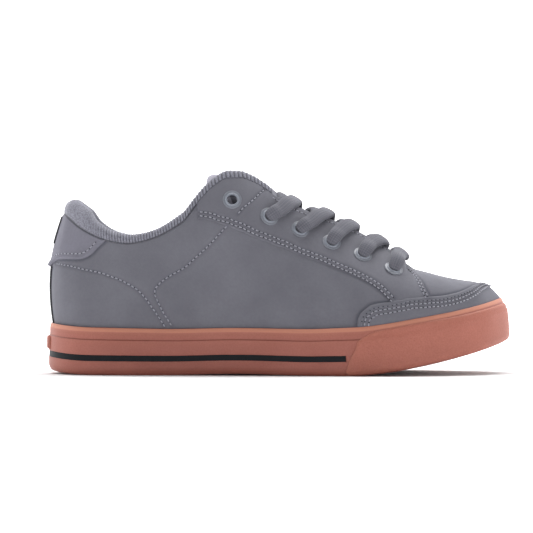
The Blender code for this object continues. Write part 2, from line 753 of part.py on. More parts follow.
def make_heel_overlays():
    """The heel tab, the black patch on it and the black strip below it."""
    side = np.linspace(0, HEEL_TAB["station"][-1], 13)
    low = curve(HEEL_TAB["station"], HEEL_TAB["share"], side)
    stations = np.concatenate((-side[:0:-1], side))[:, None]
    low = np.concatenate((low[:0:-1], low))[:, None]
    overlay("heel_tab", "nubuck", stations, low + (OVERLAY_TOP - low) * np.linspace(0, 1, 5))
    on_tab = OVERLAY + 2 * OVERLAY_GAP
    for name, spot, base in (("heel_strip", HEEL_STRIP, OVERLAY_GAP), ("heel_patch", HEEL_PATCH, on_tab)):
        half, low, high = spot
        stations = np.linspace(-half, half, 5)[:, None]
        overlay(name, "webbing", stations, np.linspace(low, high, 5), base, STRIP_THICKNESS)


def make_toe_guard():
    """The guard round the toe, just over the rim of the sole."""
    side = np.concatenate((TOE_GUARD["station"][:-3], np.linspace(0.84, 0.98, 8)))
    stations = np.concatenate((side, (1.0,), 2 - side[::-1]))[:, None]
    high = curve(TOE_GUARD["station"], TOE_GUARD["share"], np.abs(wrapped(stations)))
    overlay("toe_guard", "nubuck", stations, 0.02 + (high - 0.02) * np.linspace(0, 1, 5))


def make_eyestay(name, side):
    """The panel that carries the eyelets of one side, from the collar down to the toe guard."""
    rows = len(EYESTAY["low_station"])
    at = np.linspace(0, rows - 1, 2 * rows - 1)
    edge = {key: curve(np.arange(rows), values, at)[:, None] for key, values in EYESTAY.items()}
    up = np.linspace(0, 1, 6)
    stations = edge["low_station"] * (1 - up) + edge["high_station"] * up
    shares = edge["low_share"] * (1 - up) + edge["high_share"] * up
    order = slice(None, None, side)
    return overlay(name, "nubuck", side * stations[order], shares[order])


def collar_value(name, station):
    return curve(COLLAR["station"], COLLAR[name], np.abs(station))


def make_collar_padding():
    """The knit pad: a roll over the upper's edge and a lining that reaches down inside."""
    side = [s for s in upper_stations() if s < COLLAR_END - LEAST_STEP]
    stations = np.concatenate((-np.array((*side[1:], COLLAR_END))[::-1], side, (COLLAR_END,)))
    rows = []
    for station in stations:
        roll = COLLAR_ROLL * collar_value("roll", station)
        thick = COLLAR_THICKNESS * collar_value("thickness", station)
        depth = COLLAR_DEPTH * collar_value("depth", station)
        top = upper_face(station, 1.0)
        out = upper_normal(station, 0.97)
        up = unit(top - upper_face(station, 0.96))
        length = wall_length(station)
        section = [top + up * roll * h - out * thick * t for h, t in ROLL_SECTION]
        section[0] = top + up * GAP - out * thick * ROLL_SECTION[0][1]
        for down, share in LINING_SECTION:
            inside = np.maximum(thick * share, WALL + GAP + PAD_SKIN)
            section.append(upper_point(station, 1 - depth * down / length, -inside))
        for down in (1.0, 0.5):
            section.append(upper_point(station, 1 - depth * down / length, -WALL - 2 * GAP))
        section.append(top + up * GAP - out * (WALL + 2 * GAP))
        rows.append(section)
    count = len(rows[0])
    faces = [tuple(range(count))]
    for k in range(len(rows) - 1):
        here, there = range(k * count, (k + 1) * count), range((k + 1) * count, (k + 2) * count)
        faces += quads_between(there, here)
    faces.append(tuple(reversed(range(len(rows) * count - count, len(rows) * count))))
    return solid("collar_padding", "knit", np.concatenate(rows), faces)


def tongue_face():
    """The tongue's upper face as a grid: rows from its lower end to its top, points across."""
    knots = np.array((-1.0, -0.75, -0.5, 0.0, 0.5, 0.75, 1.0))
    across = np.linspace(-1, 1, 11)
    rows = []
    for station in TONGUE_STATIONS:
        wing = TONGUE_WING / float(wall_length(station))
        apart = 0.06 * float(smooth_step(0.60, 0.66, station))
        spots = np.sign(knots) * (0.5 + apart + wing * np.clip(2 * np.abs(knots) - 1, 0, 1))
        rows.append(bridge_point(station, spots, -WALL - 5 * GAP))
    t = TONGUE_TOP
    for along_it, height, half, drop in zip(t["along"], t["height"], t["half_width"], t["drop"]):
        y = BALL_WIDTH * half * knots + TONGUE_SHIFT
        z = INSTEP_HEIGHT * height - BALL_WIDTH * drop * np.abs(knots) ** 2
        x = np.full(len(knots), SOLE_LENGTH * (along_it - 0.5)) + TONGUE_SWEEP * np.abs(knots) ** 3
        rows.append(np.stack((x, y, z), -1))
    smooth = [[curve(knots, row[:, axis], across, tight=False) for axis in range(3)] for row in rows]
    return np.array(smooth).transpose(0, 2, 1)


def grid_normals(grid):
    """Directions out of a grid whose rows run back to the heel and whose points run inwards."""
    return unit(np.cross(np.gradient(grid, axis=1), np.gradient(grid, axis=0)))


def make_tongue():
    """The padded tongue, under the throat's edges and up between the collar's ends."""
    outer = tongue_face()
    rows, points = outer.shape[:2]
    edge = 1 - np.abs(np.linspace(-1, 1, points)) ** 4 * 0.6
    thickness = TONGUE_THICKNESS * edge * curve(np.array((0.0, 3.0, 6.0, rows - 1.0)),
                                                np.array((0.35, 0.45, 1.0, 1.0)),
                                                np.arange(rows, dtype=float))[:, None]
    inner = outer - grid_normals(outer) * thickness[..., None]
    return sheet("tongue", "nubuck", outer[::-1], inner[::-1])


def frame_at(station, share):
    """The place and the three directions of an eyelet: along the edge, up the wall, outwards."""
    place = upper_point(station, share)
    out = unit(upper_normal(station, share))
    side = unit(np.cross(out, upper_face(station, share + 0.02) - place))
    return place, side, np.cross(out, side), out


def turned(name, finish, frame, profile, hollow):
    """A hollow ring or a full rod turned about an eyelet's axis from pairs of radius and height."""
    place, side, up, out = frame
    sides = EYELET_SIDES
    points = []
    for radius, height in profile:
        for k in range(sides):
            angle = 2 * math.pi * k / sides
            round_it = side * math.cos(angle) + up * math.sin(angle)
            points.append(place + round_it * radius + out * height)
    faces = []
    count = len(profile)
    for k in range(count if hollow else count - 1):
        here = range(k * sides, (k + 1) * sides)
        there = range((k + 1) % count * sides, ((k + 1) % count + 1) * sides)
        faces += quads_between(here, there)
    if not hollow:
        faces += [tuple(reversed(range(sides))), tuple(range((count - 1) * sides, count * sides))]
    return solid(name, finish, points, faces)


def make_eyelets(upper, stays):
    """Twelve eyelet rings through the upper and its eyestays, with their holes."""
    base = OVERLAY + OVERLAY_GAP + 2 * GAP
    ring = ((EYELET_HOLE, -WALL - BARREL_DEPTH), (EYELET_BARREL, -WALL - BARREL_DEPTH),
            (EYELET_BARREL, base), (EYELET_FLANGE, base),
            (EYELET_BARREL + BEAD_WIDTH, base + FLANGE_HEIGHT),
            (EYELET_HOLE, base + FLANGE_HEIGHT - BEAD_DIP))
    hole = ((EYELET_BARREL + GAP, -HOLE_REACH), (EYELET_BARREL + GAP, HOLE_REACH))
    for side, word in ((1, "lateral"), (-1, "medial")):
        for row, (station, share) in enumerate(zip(EYELETS["station"], EYELETS["share"]), 1):
            frame = frame_at(side * station, share)
            turned(f"eyelet_{word}_{row}", "eyelet", frame, ring, hollow=True)
            cutter = turned(f"hole_{word}_{row}", "nubuck", frame, hole, hollow=False)
            cut_by(upper, cutter)
            cut_by(stays[side], cutter)


def lace_strand(name, start, end):
    """A flat lace over the instep between two places, each a station and an across."""
    count = 8
    t = np.linspace(0, 1, count)
    stations = start[0] + (end[0] - start[0]) * t
    across = start[1] + (end[1] - start[1]) * t
    edge = np.abs(across)
    height = LACE_THICKNESS / 2 + np.interp(edge, (0.0, 0.35, 0.5, 0.6, 1.0), LACE_CLEARANCE)
    middle = bridge_point(stations, across, height)
    out = unit(bridge_point(stations, across, 0.001) - bridge(stations, across))
    ahead = unit(np.gradient(middle, axis=0))
    wide = unit(np.cross(ahead, out))
    out = np.cross(wide, ahead)
    points = []
    for k in range(LACE_SIDES):
        angle = 2 * math.pi * k / LACE_SIDES
        across_it = wide * math.cos(angle) * LACE_WIDTH / 2
        points.append(middle + across_it + out * math.sin(angle) * LACE_THICKNESS / 1.732)
    rows = np.stack(points, 1)
    faces = [tuple(range(LACE_SIDES))]
    for k in range(count - 1):
        here = range(k * LACE_SIDES, (k + 1) * LACE_SIDES)
        there = range((k + 1) * LACE_SIDES, (k + 2) * LACE_SIDES)
        faces += quads_between(there, here)
    faces.append(tuple(reversed(range((count - 1) * LACE_SIDES, count * LACE_SIDES))))
    return solid(name, "lace", rows.reshape(-1, 3), faces)


def make_laces():
    """A bar over the first row, then a crossing up to each next row that is laced."""
    stations, shares = EYELETS["station"], EYELETS["share"]
    first = 1.5 - shares[0]
    lace_strand("lace_bar", (stations[0], -first), (stations[0], first))
    for row in range(1, LACED_ROWS):
        side = 1.5 - shares[row]
        end = stations[row] + (stations[row - 1] - stations[row]) * LACE_STUB[0]
        long_one = lace_strand(f"lace_crossing_{row}", (stations[row], -side), (end, LACE_STUB[1]))
        other = lace_strand(f"lace_other_{row}", (stations[row], side), (end, -LACE_STUB[1]))
        cut_by(long_one, other, "UNION")


def main():
    for old in list(bpy.data.objects):
        bpy.data.objects.remove(old)
    make_outsole()
    make_sole_trim()
    make_insole()
    upper = upper_layer("upper", "nubuck", 0, -WALL)
    make_heel_overlays()
    make_toe_guard()
    stays = {1: make_eyestay("eyestay_lateral", 1), -1: make_eyestay("eyestay_medial", -1)}
    make_collar_padding()
    make_tongue()
    make_eyelets(upper, stays)
    make_laces()


main()
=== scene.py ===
import math

import bpy
import numpy as np
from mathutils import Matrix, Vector
from mathutils.kdtree import KDTree


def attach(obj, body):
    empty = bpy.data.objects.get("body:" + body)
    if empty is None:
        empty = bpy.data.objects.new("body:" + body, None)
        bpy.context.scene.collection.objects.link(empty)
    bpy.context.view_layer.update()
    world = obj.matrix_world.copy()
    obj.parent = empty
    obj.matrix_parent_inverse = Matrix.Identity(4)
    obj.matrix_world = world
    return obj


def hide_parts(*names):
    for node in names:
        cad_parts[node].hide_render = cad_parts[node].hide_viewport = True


# A low skateboarding shoe for the right foot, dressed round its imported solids. Units are metres.
# The toe points to +X, the outer side of the foot faces -Y, and the shoe stands on Z = 0.
#
# A place on the shoe is given by two shares. The station runs round it: 0 at the back of the heel,
# 1 or -1 at the tip of the toe, above 0 on the outer side and below 0 on the inner side. The share
# runs up the wall: 0 at the sole's top edge, and 1 at the collar, the throat or the toe's ridge.

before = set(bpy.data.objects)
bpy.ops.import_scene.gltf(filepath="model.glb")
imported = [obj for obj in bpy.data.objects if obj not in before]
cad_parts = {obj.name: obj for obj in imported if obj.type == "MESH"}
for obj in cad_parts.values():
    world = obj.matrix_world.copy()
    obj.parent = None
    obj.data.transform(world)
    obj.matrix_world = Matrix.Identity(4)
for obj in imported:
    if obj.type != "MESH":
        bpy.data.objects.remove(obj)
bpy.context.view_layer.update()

# Sizes of the last
SOLE_LENGTH = 0.285
BALL_WIDTH = 0.1052
HEEL_HEIGHT = 0.098
INSTEP_HEIGHT = 0.1204
TOE_HEIGHT = 0.057

# Sizes of the sole
SIDEWALL_HEIGHT = 0.0285
HEEL_SPRING = 0.0022
ARCH_RISE = 0.0009
TOE_SPRING = 0.020
TOE_LEAN = 0.0028
RIM_WIDTH = 0.0026
EDGE_ROUND = 0.0032
STRIPE_DEPTH = 0.0009
BAND_STEP = 0.0005
TOP_CHAMFER = 0.0008
HEEL_FLOOR = 0.014
FOREFOOT_FLOOR = 0.0095
GROOVE_WIDTH = 0.003
GROOVE_DEPTH = 0.0016
GROOVE_BOW = 0.004

# Thicknesses of sheets and pads
WALL = 0.002
BUMPER_THICKNESS = 0.0012
PLATE_THICKNESS = 0.0012
INSOLE_THICKNESS = 0.0045
TONGUE_THICKNESS = 0.0055
TONGUE_WING = 0.011
TONGUE_SWEEP = 0.006
TONGUE_SHIFT = 0.001
COLLAR_THICKNESS = 0.0095
COLLAR_ROLL = 0.0155
COLLAR_DEPTH = 0.03
PAD_SKIN = 0.001
GAP = 0.0003

# Eyelets and laces
EYELET_HOLE = 0.0031
EYELET_BARREL = 0.0039
EYELET_FLANGE = 0.0058
BARREL_DEPTH = 0.0008
LACED_ROWS = 5

# Places shared by several pieces
COLLAR_END = 0.488
BRIDGE_HOLD = 0.28
ROUNDING_IN = 0.012


def table(names, rows):
    """A table as a dict from the name of each column to its values."""
    return dict(zip(names.split(), np.array(rows, float).T))


# The widest outline of the sole, seen from above: shares of SOLE_LENGTH and BALL_WIDTH
PLAN = table("along lateral medial", (
    (0.00, 0.000, 0.000),
    (0.02, 0.190, 0.190),
    (0.06, 0.296, 0.300),
    (0.14, 0.355, 0.359),
    (0.28, 0.367, 0.350),
    (0.40, 0.394, 0.338),
    (0.50, 0.439, 0.372),
    (0.60, 0.481, 0.436),
    (0.68, 0.500, 0.484),
    (0.75, 0.490, 0.500),
    (0.82, 0.448, 0.484),
    (0.88, 0.378, 0.430),
    (0.94, 0.264, 0.346),
    (0.98, 0.112, 0.240),
    (1.00, -0.066, 0.066),
))

# Height of the side wall from the ground line up, as a share of SIDEWALL_HEIGHT
WALL_LINE = table("along height", (
    (0.00, 1.030),
    (0.05, 1.025),
    (0.12, 1.010),
    (0.35, 0.975),
    (0.55, 0.985),
    (0.68, 1.030),
    (0.78, 1.045),
    (0.88, 1.010),
    (0.95, 0.985),
    (1.00, 0.980),
))

# How far the side wall leans in at its top, as a share of TOE_LEAN
LEAN = table("station lean", (
    (0.00, 0.10),
    (0.25, 0.25),
    (0.60, 0.30),
    (0.75, 0.42),
    (0.88, 0.78),
    (1.00, 1.00),
))

# Where the flex grooves cross the tread, as shares of SOLE_LENGTH
TREAD = (0.10, 0.16, 0.22, 0.56, 0.62, 0.68, 0.74, 0.80)

# The upper's top edge: shares of SOLE_LENGTH, of BALL_WIDTH for both sides, and of the last's
# height there, with the inner side's extra height
TOPLINE = table("station along lateral medial height rise", (
    (0.0000, 0.0365, 0.0000, 0.0000, 1.0080, 0.000),
    (0.0900, 0.0435, 0.0998, 0.0998, 0.9890, 0.003),
    (0.1575, 0.0700, 0.1901, 0.1901, 0.9214, 0.005),
    (0.2048, 0.1000, 0.2452, 0.2424, 0.8704, 0.005),
    (0.2443, 0.1372, 0.2785, 0.2709, 0.8316, 0.005),
    (0.2952, 0.1930, 0.3023, 0.2871, 0.8091, 0.005),
    (0.3330, 0.2404, 0.3061, 0.2871, 0.7986, 0.005),
    (0.3690, 0.2930, 0.2994, 0.2804, 0.8213, 0.005),
    (0.3860, 0.3175, 0.2899, 0.2738, 0.8731, 0.005),
    (0.4030, 0.3404, 0.2804, 0.2690, 0.9208, 0.005),
    (0.4200, 0.3649, 0.2681, 0.2633, 0.9630, 0.003),
    (0.4360, 0.3912, 0.2567, 0.2567, 0.9934, 0.003),
    (0.4520, 0.4175, 0.2433, 0.2490, 0.9950, 0.003),
    (0.4680, 0.4439, 0.2300, 0.2395, 0.9751, 0.003),
    (0.4840, 0.4702, 0.2129, 0.2281, 0.9402, 0.003),
    (0.5000, 0.4982, 0.1930, 0.2120, 0.8937, 0.003),
    (0.5320, 0.5509, 0.1711, 0.1949, 0.8556, 0.003),
    (0.5641, 0.6053, 0.1540, 0.1825, 0.8818, 0.003),
    (0.5970, 0.6579, 0.1378, 0.1692, 0.9364, 0.002),
    (0.6310, 0.7105, 0.1160, 0.1521, 1.0084, 0.002),
    (0.6550, 0.7456, 0.0884, 0.1283, 1.0607, 0.000),
    (0.6680, 0.7632, 0.0570, 0.0998, 1.0811, 0.000),
    (0.6770, 0.7723, 0.0209, 0.0684, 1.0945, 0.000),
    (0.6820, 0.7758, -0.0238, 0.0238, 1.1028, 0.000),
    (0.7000, 0.7867, -0.0257, 0.0257, 1.1340, 0.000),
    (0.7500, 0.8193, -0.0333, 0.0333, 1.1018, 0.000),
    (0.8000, 0.8526, -0.0418, 0.0418, 1.0579, 0.000),
    (0.8500, 0.8807, -0.0494, 0.0494, 1.0281, 0.000),
    (0.9000, 0.9018, -0.0551, 0.0551, 1.0105, 0.000),
    (0.9500, 0.9140, -0.0589, 0.0589, 1.0018, 0.000),
    (1.0000, 0.9175, -0.0599, 0.0599, 1.0000, 0.000),
))
THROAT_END = 0.682

# The upper's sections: the wall's lean out at its foot and in at its top, in degrees, and how far
# each of them holds, as a share of the chord
SECTION = table("station foot_lean top_lean foot_hold top_hold", (
    (0.00, 9.0, 19.0, 0.45, 0.35),
    (0.10, 10.0, 16.0, 0.42, 0.34),
    (0.20, 10.0, 10.0, 0.38, 0.33),
    (0.30, 11.0, 7.0, 0.35, 0.33),
    (0.38, 8.0, 16.0, 0.35, 0.30),
    (0.44, 4.0, 28.0, 0.36, 0.26),
    (0.50, 3.0, 42.0, 0.38, 0.26),
    (0.56, 3.0, 52.0, 0.40, 0.28),
    (0.62, 3.0, 64.0, 0.42, 0.32),
    (0.67, 3.0, 84.0, 0.46, 0.42),
    (0.72, 0.0, 90.0, 0.46, 0.48),
    (0.80, -12.0, 90.0, 0.42, 0.50),
    (0.90, -30.0, 90.0, 0.36, 0.48),
    (1.00, -42.0, 90.0, 0.34, 0.44),
))

# The collar's pad round the ankle: shares of COLLAR_ROLL, COLLAR_THICKNESS and COLLAR_DEPTH
COLLAR = table("station roll thickness depth", (
    (0.000, 0.61, 1.00, 1.00),
    (0.080, 0.74, 1.00, 1.00),
    (0.140, 0.92, 1.00, 0.95),
    (0.180, 0.95, 1.00, 0.92),
    (0.215, 0.66, 0.95, 0.90),
    (0.260, 0.43, 0.88, 0.85),
    (0.330, 0.33, 0.74, 0.72),
    (0.375, 0.41, 0.60, 0.50),
    (0.400, 0.41, 0.52, 0.28),
    (0.450, 0.38, 0.44, 0.18),
    (0.490, 0.34, 0.38, 0.15),
))

# The pad's section below the upper's edge: shares of the depth and of the thickness
LINING_SECTION = ((0.25, 1.00), (0.70, 0.85), (1.00, 0.38))

# The tongue above the laces: its middle line, with half its width and the drop to its edges
TONGUE_TOP = table("along height half_width drop", (
    (0.466, 0.972, 0.160, 0.060),
    (0.420, 0.997, 0.172, 0.135),
    (0.375, 1.011, 0.178, 0.165),
    (0.343, 1.015, 0.166, 0.120),
))
TONGUE_STATIONS = (0.705, 0.69, 0.672, 0.655, 0.63, 0.60, 0.57, 0.54, 0.515)
# How full its pad is from its lower end up
TONGUE_PLUMP = table("along plump", (
    (0.00, 0.35),
    (0.25, 0.45),
    (0.55, 1.00),
    (1.00, 1.00),
))
# The part of it that the light band covers, and how far its front swells and its seams sink
TONGUE_BAND = 0.085
TONGUE_SWELL = 0.0011
TONGUE_DENT = 0.0004

# Eyelets from the toe up: where each one sits on the upper
EYELETS = table("station share", (
    (0.6590, 0.575),
    (0.6130, 0.680),
    (0.5700, 0.715),
    (0.5290, 0.765),
    (0.4885, 0.755),
    (0.4405, 0.815),
))

# The rubber toe bumper: its upper edge on the side wall at each station
BUMPER = table("station height", (
    (0.5920, 0.120),
    (0.5960, 0.300),
    (0.6037, 0.520),
    (0.6188, 0.800),
    (0.6386, 0.885),
    (0.6600, 0.900),
    (0.8000, 0.885),
    (1.0000, 0.860),
))
STRIPE_END = 0.590
STRIPE_LOW, STRIPE_HIGH = 0.2925, 0.4215
HEEL_PLATE = (0.050, 0.45, 0.72)
HEEL_STRIP = (0.034, -0.02, 0.475)
HEEL_PATCH = (0.034, 0.70, 0.97)


def curve(knots, values, at, tight=True):
    """A smooth curve through the values. A tight one never swings past them."""
    step = np.diff(knots)
    rise = np.diff(values) / step
    before, after = rise[:-1], rise[1:]
    if tight:
        same = before * after > 0
        total = np.where(same, before + after, 1.0)
        inner = np.where(same, 2.0 * before * after / total, 0.0)
    else:
        inner = (step[1:] * before + step[:-1] * after) / (step[:-1] + step[1:])
    slope = np.concatenate(([rise[0]], inner, [rise[-1]]))
    k = np.clip(np.searchsorted(knots, at, side="right") - 1, 0, len(step) - 1)
    t = np.clip((at - knots[k]) / step[k], 0.0, 1.0)
    start = values[k] + t * step[k] * slope[k]
    rest = values[k + 1] - values[k] - step[k] * slope[k]
    turn = step[k] * (slope[k + 1] - slope[k])
    return start + rest * t * t * (3 - 2 * t) + turn * t * t * (t - 1)


def ring_curve(stations, lateral, medial, at, tight=True):
    """A smooth curve all round the shoe, closed at the tip of the toe."""
    knots = np.concatenate((-stations[:0:-1], stations))
    values = np.concatenate((medial[:0:-1], lateral))
    knots = np.concatenate((knots[-4:-1] - 2, knots, knots[1:4] + 2))
    values = np.concatenate((values[-4:-1], values, values[1:4]))
    return curve(knots, values, wrapped(at), tight)


def wrapped(station):
    """The same station within -1 and 1."""
    return (np.asarray(station, float) + 1) % 2 - 1


def smooth_step(low, high, at):
    t = np.clip((at - low) / (high - low), 0, 1)
    return t * t * (3 - 2 * t)


def outline(station):
    """The widest outline of the sole in plan."""
    stations = np.arccos(1 - 2 * PLAN["along"]) / math.pi
    side = ring_curve(stations, -PLAN["lateral"], PLAN["medial"], station, tight=False)
    x = -SOLE_LENGTH / 2 * np.cos(math.pi * wrapped(station))
    return np.stack((x, BALL_WIDTH * side), -1)


def plan_inward(station):
    """The direction in plan that points into the shoe."""
    ahead = outline(station + 0.002) - outline(station - 0.002)
    turned = np.stack((-ahead[..., 1], ahead[..., 0]), -1)
    return turned / np.linalg.norm(turned, axis=-1, keepdims=True)


def along(x):
    return np.clip(x / SOLE_LENGTH + 0.5, 0, 1)


def ground_line(x):
    """The underside of the sole: flat under heel and ball, raised at back, arch and toe."""
    share = along(x)
    heel = HEEL_SPRING * np.clip(1 - share / 0.10, 0, 1) ** 2
    arch = ARCH_RISE * np.sin(math.pi * np.clip((share - 0.24) / 0.34, 0, 1)) ** 2
    toe = TOE_SPRING * np.clip((share - 0.66) / 0.34, 0, 1) ** 1.5
    return heel + arch + toe


def top_line(x):
    """The top edge of the side wall."""
    share = curve(WALL_LINE["along"], WALL_LINE["height"], along(x))
    return ground_line(x) + SIDEWALL_HEIGHT * share


def cup_floor(x):
    """The floor inside the cup, which carries the insole and the upper."""
    thickness = HEEL_FLOOR + (FOREFOOT_FLOOR - HEEL_FLOOR) * smooth_step(0.25, 0.65, along(x))
    return ground_line(x) + thickness


def lean_in(station, height):
    lean = curve(LEAN["station"], LEAN["lean"], np.abs(wrapped(station)))
    return TOE_LEAN * lean * height**2


def side_point(station, height, inset=0.0):
    """A point on the side wall, which leans in. The inset is measured in plan."""
    station = np.asarray(station, float)
    height = np.asarray(height, float)
    depth = inset + lean_in(station, height)
    place = outline(station) + plan_inward(station) * np.asarray(depth)[..., None]
    x = place[..., 0]
    low = ground_line(x)
    z = low + (top_line(x) - low) * height
    return np.concatenate((place, z[..., None]), -1)


def wall_inset():
    """From the sole's outline to the upper's outer face, apart from the lean."""
    return RIM_WIDTH + GAP


def last_height(station):
    """The last's own height at a station, between its heel, instep and toe."""
    station = np.abs(wrapped(station))
    heel_to_instep = smooth_step(0.27, 0.43, station)
    instep_to_toe = smooth_step(0.50, 0.72, station)
    height = HEEL_HEIGHT + (INSTEP_HEIGHT - HEEL_HEIGHT) * heel_to_instep
    return height + (TOE_HEIGHT - INSTEP_HEIGHT) * instep_to_toe


def top_edge(station):
    """The upper's top edge: collar, throat, and the ridge over the toes."""
    rows = TOPLINE
    x = ring_curve(rows["station"], rows["along"], rows["along"], station)
    side = ring_curve(rows["station"], -rows["lateral"], rows["medial"], station)
    raised = rows["height"] + rows["rise"]
    height = ring_curve(rows["station"], rows["height"], raised, station)
    return np.stack((SOLE_LENGTH * (x - 0.5), BALL_WIDTH * side, last_height(station) * height), -1)


def section_value(name, station):
    return curve(SECTION["station"], SECTION[name], np.abs(wrapped(station)))


def unit(vector):
    return vector / np.linalg.norm(vector, axis=-1, keepdims=True)


def upper_face(station, share):
    """The upper's outer face, before any thickness."""
    station, share = np.broadcast_arrays(np.asarray(station, float), np.asarray(share, float))
    foot = side_point(station, 1.0, wall_inset())
    top = top_edge(station)
    up = np.array((0.0, 0.0, 1.0))
    inward = np.concatenate((plan_inward(station), np.zeros(station.shape + (1,))), -1)
    level = (top - foot) * np.array((1.0, 1.0, 0.0))
    towards = unit(level + inward * ROUNDING_IN)
    near = np.minimum(np.abs(wrapped(station)), 0.95)
    run = top_edge(near + 0.01) - top_edge(near - 0.01)
    slope = run[..., 2] / np.maximum(run[..., 0], 0.0005) * smooth_step(0.55, 0.68, near)
    towards = towards + up * (slope * towards[..., 0])[..., None]
    chord = np.linalg.norm(top - foot, axis=-1)
    foot_lean = np.radians(section_value("foot_lean", station))[..., None]
    top_lean = np.radians(section_value("top_lean", station))[..., None]
    foot_hold = (section_value("foot_hold", station) * chord)[..., None]
    top_hold = (section_value("top_hold", station) * chord)[..., None]
    low = foot + (np.cos(foot_lean) * up - np.sin(foot_lean) * inward) * foot_hold
    high = top - (np.cos(top_lean) * up + np.sin(top_lean) * towards) * top_hold
    t = np.clip(share, 0, 1)[..., None]
    face = foot * (1 - t) ** 3 + 3 * low * t * (1 - t) ** 2
    face = face + 3 * high * t * t * (1 - t) + top * t**3
    tucked = np.clip(-share, 0, 1)
    drop = (foot[..., 2] - cup_floor(foot[..., 0]) - GAP) * tucked
    beyond = np.clip(share - 1, 0, 1) * chord
    return face - up * drop[..., None] + unit(top - high) * beyond[..., None]


def upper_normal(station, share):
    """The direction out of the upper's face."""
    station, share = np.broadcast_arrays(np.asarray(station, float), np.asarray(share, float))
    share = np.where(share > 0, np.clip(share, 0.01, 0.985), share)
    round_it = upper_face(station + 0.003, share) - upper_face(station - 0.003, share)
    up_it = upper_face(station, share + 0.01) - upper_face(station, share - 0.01)
    outward = np.cross(round_it, up_it)
    ridge = (share > 0.98) & (np.abs(wrapped(station)) > THROAT_END - 0.001)
    other = outward * np.array((1.0, -1.0, 1.0))
    outward = np.where(ridge[..., None], outward + other, outward)
    return unit(outward)


def upper_point(station, share, height=0.0):
    """A point at a height off the upper's outer face; a depth is a height below 0."""
    return upper_face(station, share) + upper_normal(station, share) * np.asarray(height)[..., None]


def wall_length(station):
    """The length of the wall from the sole's top edge to the upper's top edge."""
    return np.linalg.norm(top_edge(station) - side_point(station, 1.0, wall_inset()), axis=-1)


def bridge(station, across):
    """Over the instep: 0 is the throat's middle, -0.5 and 0.5 are its outer and inner edge, and
    beyond them the rest is a share of the wall."""
    station, across = np.broadcast_arrays(np.asarray(station, float), np.asarray(across, float))
    side = np.where(across < 0, 1.0, -1.0)
    on_wall = upper_face(station * side, 1.5 - np.maximum(np.abs(across), 0.5))
    left, right = top_edge(station), top_edge(-station)
    span = np.linalg.norm(right - left, axis=-1, keepdims=True) * BRIDGE_HOLD
    first = left + unit(left - upper_face(station, 0.97)) * span
    second = right + unit(right - upper_face(-station, 0.97)) * span
    t = np.clip(across + 0.5, 0, 1)[..., None]
    over = left * (1 - t) ** 3 + 3 * first * t * (1 - t) ** 2
    over = over + 3 * second * t * t * (1 - t) + right * t**3
    return np.where((np.abs(across) > 0.5)[..., None], on_wall, over)


def bridge_point(station, across, height=0.0):
    """A point at a height off the instep, throat included."""
    station, across = np.broadcast_arrays(np.asarray(station, float), np.asarray(across, float))
    forward = bridge(station + 0.004, across) - bridge(station - 0.004, across)
    step = np.where(np.abs(across) < 0.2, 0.56, 0.03)
    over = bridge(station, across + step) - bridge(station, across - step)
    return bridge(station, across) + unit(np.cross(forward, over)) * np.asarray(height)[..., None]


# ======== Fine meshes

# The step between the dots that stand for an edge, and how long a share is beside a station
EDGE_PITCH = 0.0003
SHARE_TO_STATION = 0.6


def piece(name, points, faces, finishes, stands_for=(), which=None, groove=None, flow=None):
    """A named piece of the shoe. which picks each face's finish; the point values after it are
    painted shade in ribs, seams, weaves and along edges, and painted highlight below 0; flow is a
    place along and round a lace."""
    mesh = bpy.data.meshes.new(name)
    mesh.from_pydata(np.asarray(points, float).tolist(), [],
                     [tuple(int(n) for n in f) for f in faces])
    mesh.shade_smooth()
    for finish in finishes:
        mesh.materials.append(finish)
    if which is not None:
        mesh.polygons.foreach_set("material_index", np.asarray(which, np.int32))
    if groove is not None:
        # each point's painted shade; a value below 0 is painted highlight
        depth = mesh.attributes.new("groove", "FLOAT", "POINT")
        depth.data.foreach_set("value", np.asarray(groove, np.float32))
    if flow is not None:
        spread = mesh.attributes.new("flow", "FLOAT_VECTOR", "POINT")
        spread.data.foreach_set("vector", np.asarray(flow, np.float32).ravel())
    made = bpy.data.objects.new(name, mesh)
    bpy.context.scene.collection.objects.link(made)
    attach(made, "root")
    if stands_for:
        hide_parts(*stands_for)
    return made


def grid_faces(rows, columns, closed_rows=False, closed_columns=False, start=0):
    """Quads over a grid of points that runs along its columns first."""
    i = np.arange(rows if closed_rows else rows - 1)[:, None]
    j = np.arange(columns if closed_columns else columns - 1)[None, :]
    a, b = i * columns + j, (i + 1) % rows * columns + j
    c, d = (i + 1) % rows * columns + (j + 1) % columns, i * columns + (j + 1) % columns
    return np.stack((a, b, c, d), -1).reshape(-1, 4) + start


def closed_sheet(outer, inner):
    """Points and faces of a thin body between two grids."""
    rows, columns = outer.shape[:2]
    size = rows * columns
    points = np.concatenate((outer.reshape(-1, 3), inner.reshape(-1, 3)))
    front = grid_faces(rows, columns)
    n = np.arange(size).reshape(rows, columns)
    rim = np.concatenate((n[:, 0], n[-1, 1:], n[-2::-1, -1], n[0, -2:0:-1]))
    nexts = np.roll(rim, -1)
    side = np.stack((nexts, rim, rim + size, nexts + size), -1)
    return points, np.concatenate((front, front[:, ::-1] + size, side))


def tube(rows):
    """Points and faces of a body from closed loops of points, with its two ends filled."""
    count, around = rows.shape[:2]
    faces = [tuple(f) for f in grid_faces(count, around, False, True)]
    faces.append(tuple(range(around)))
    faces.append(tuple(range(count * around - 1, (count - 1) * around - 1, -1)))
    return rows.reshape(-1, 3), faces


def crowded(count):
    """Shares from 0 to 1 that lie closer together at both ends."""
    return 0.5 - 0.5 * np.cos(np.pi * np.linspace(0, 1, count))


def length_along(points):
    """The distance from the first point to each one."""
    steps = np.linalg.norm(np.diff(points, axis=0), axis=-1)
    return np.concatenate(([0.0], np.cumsum(steps)))


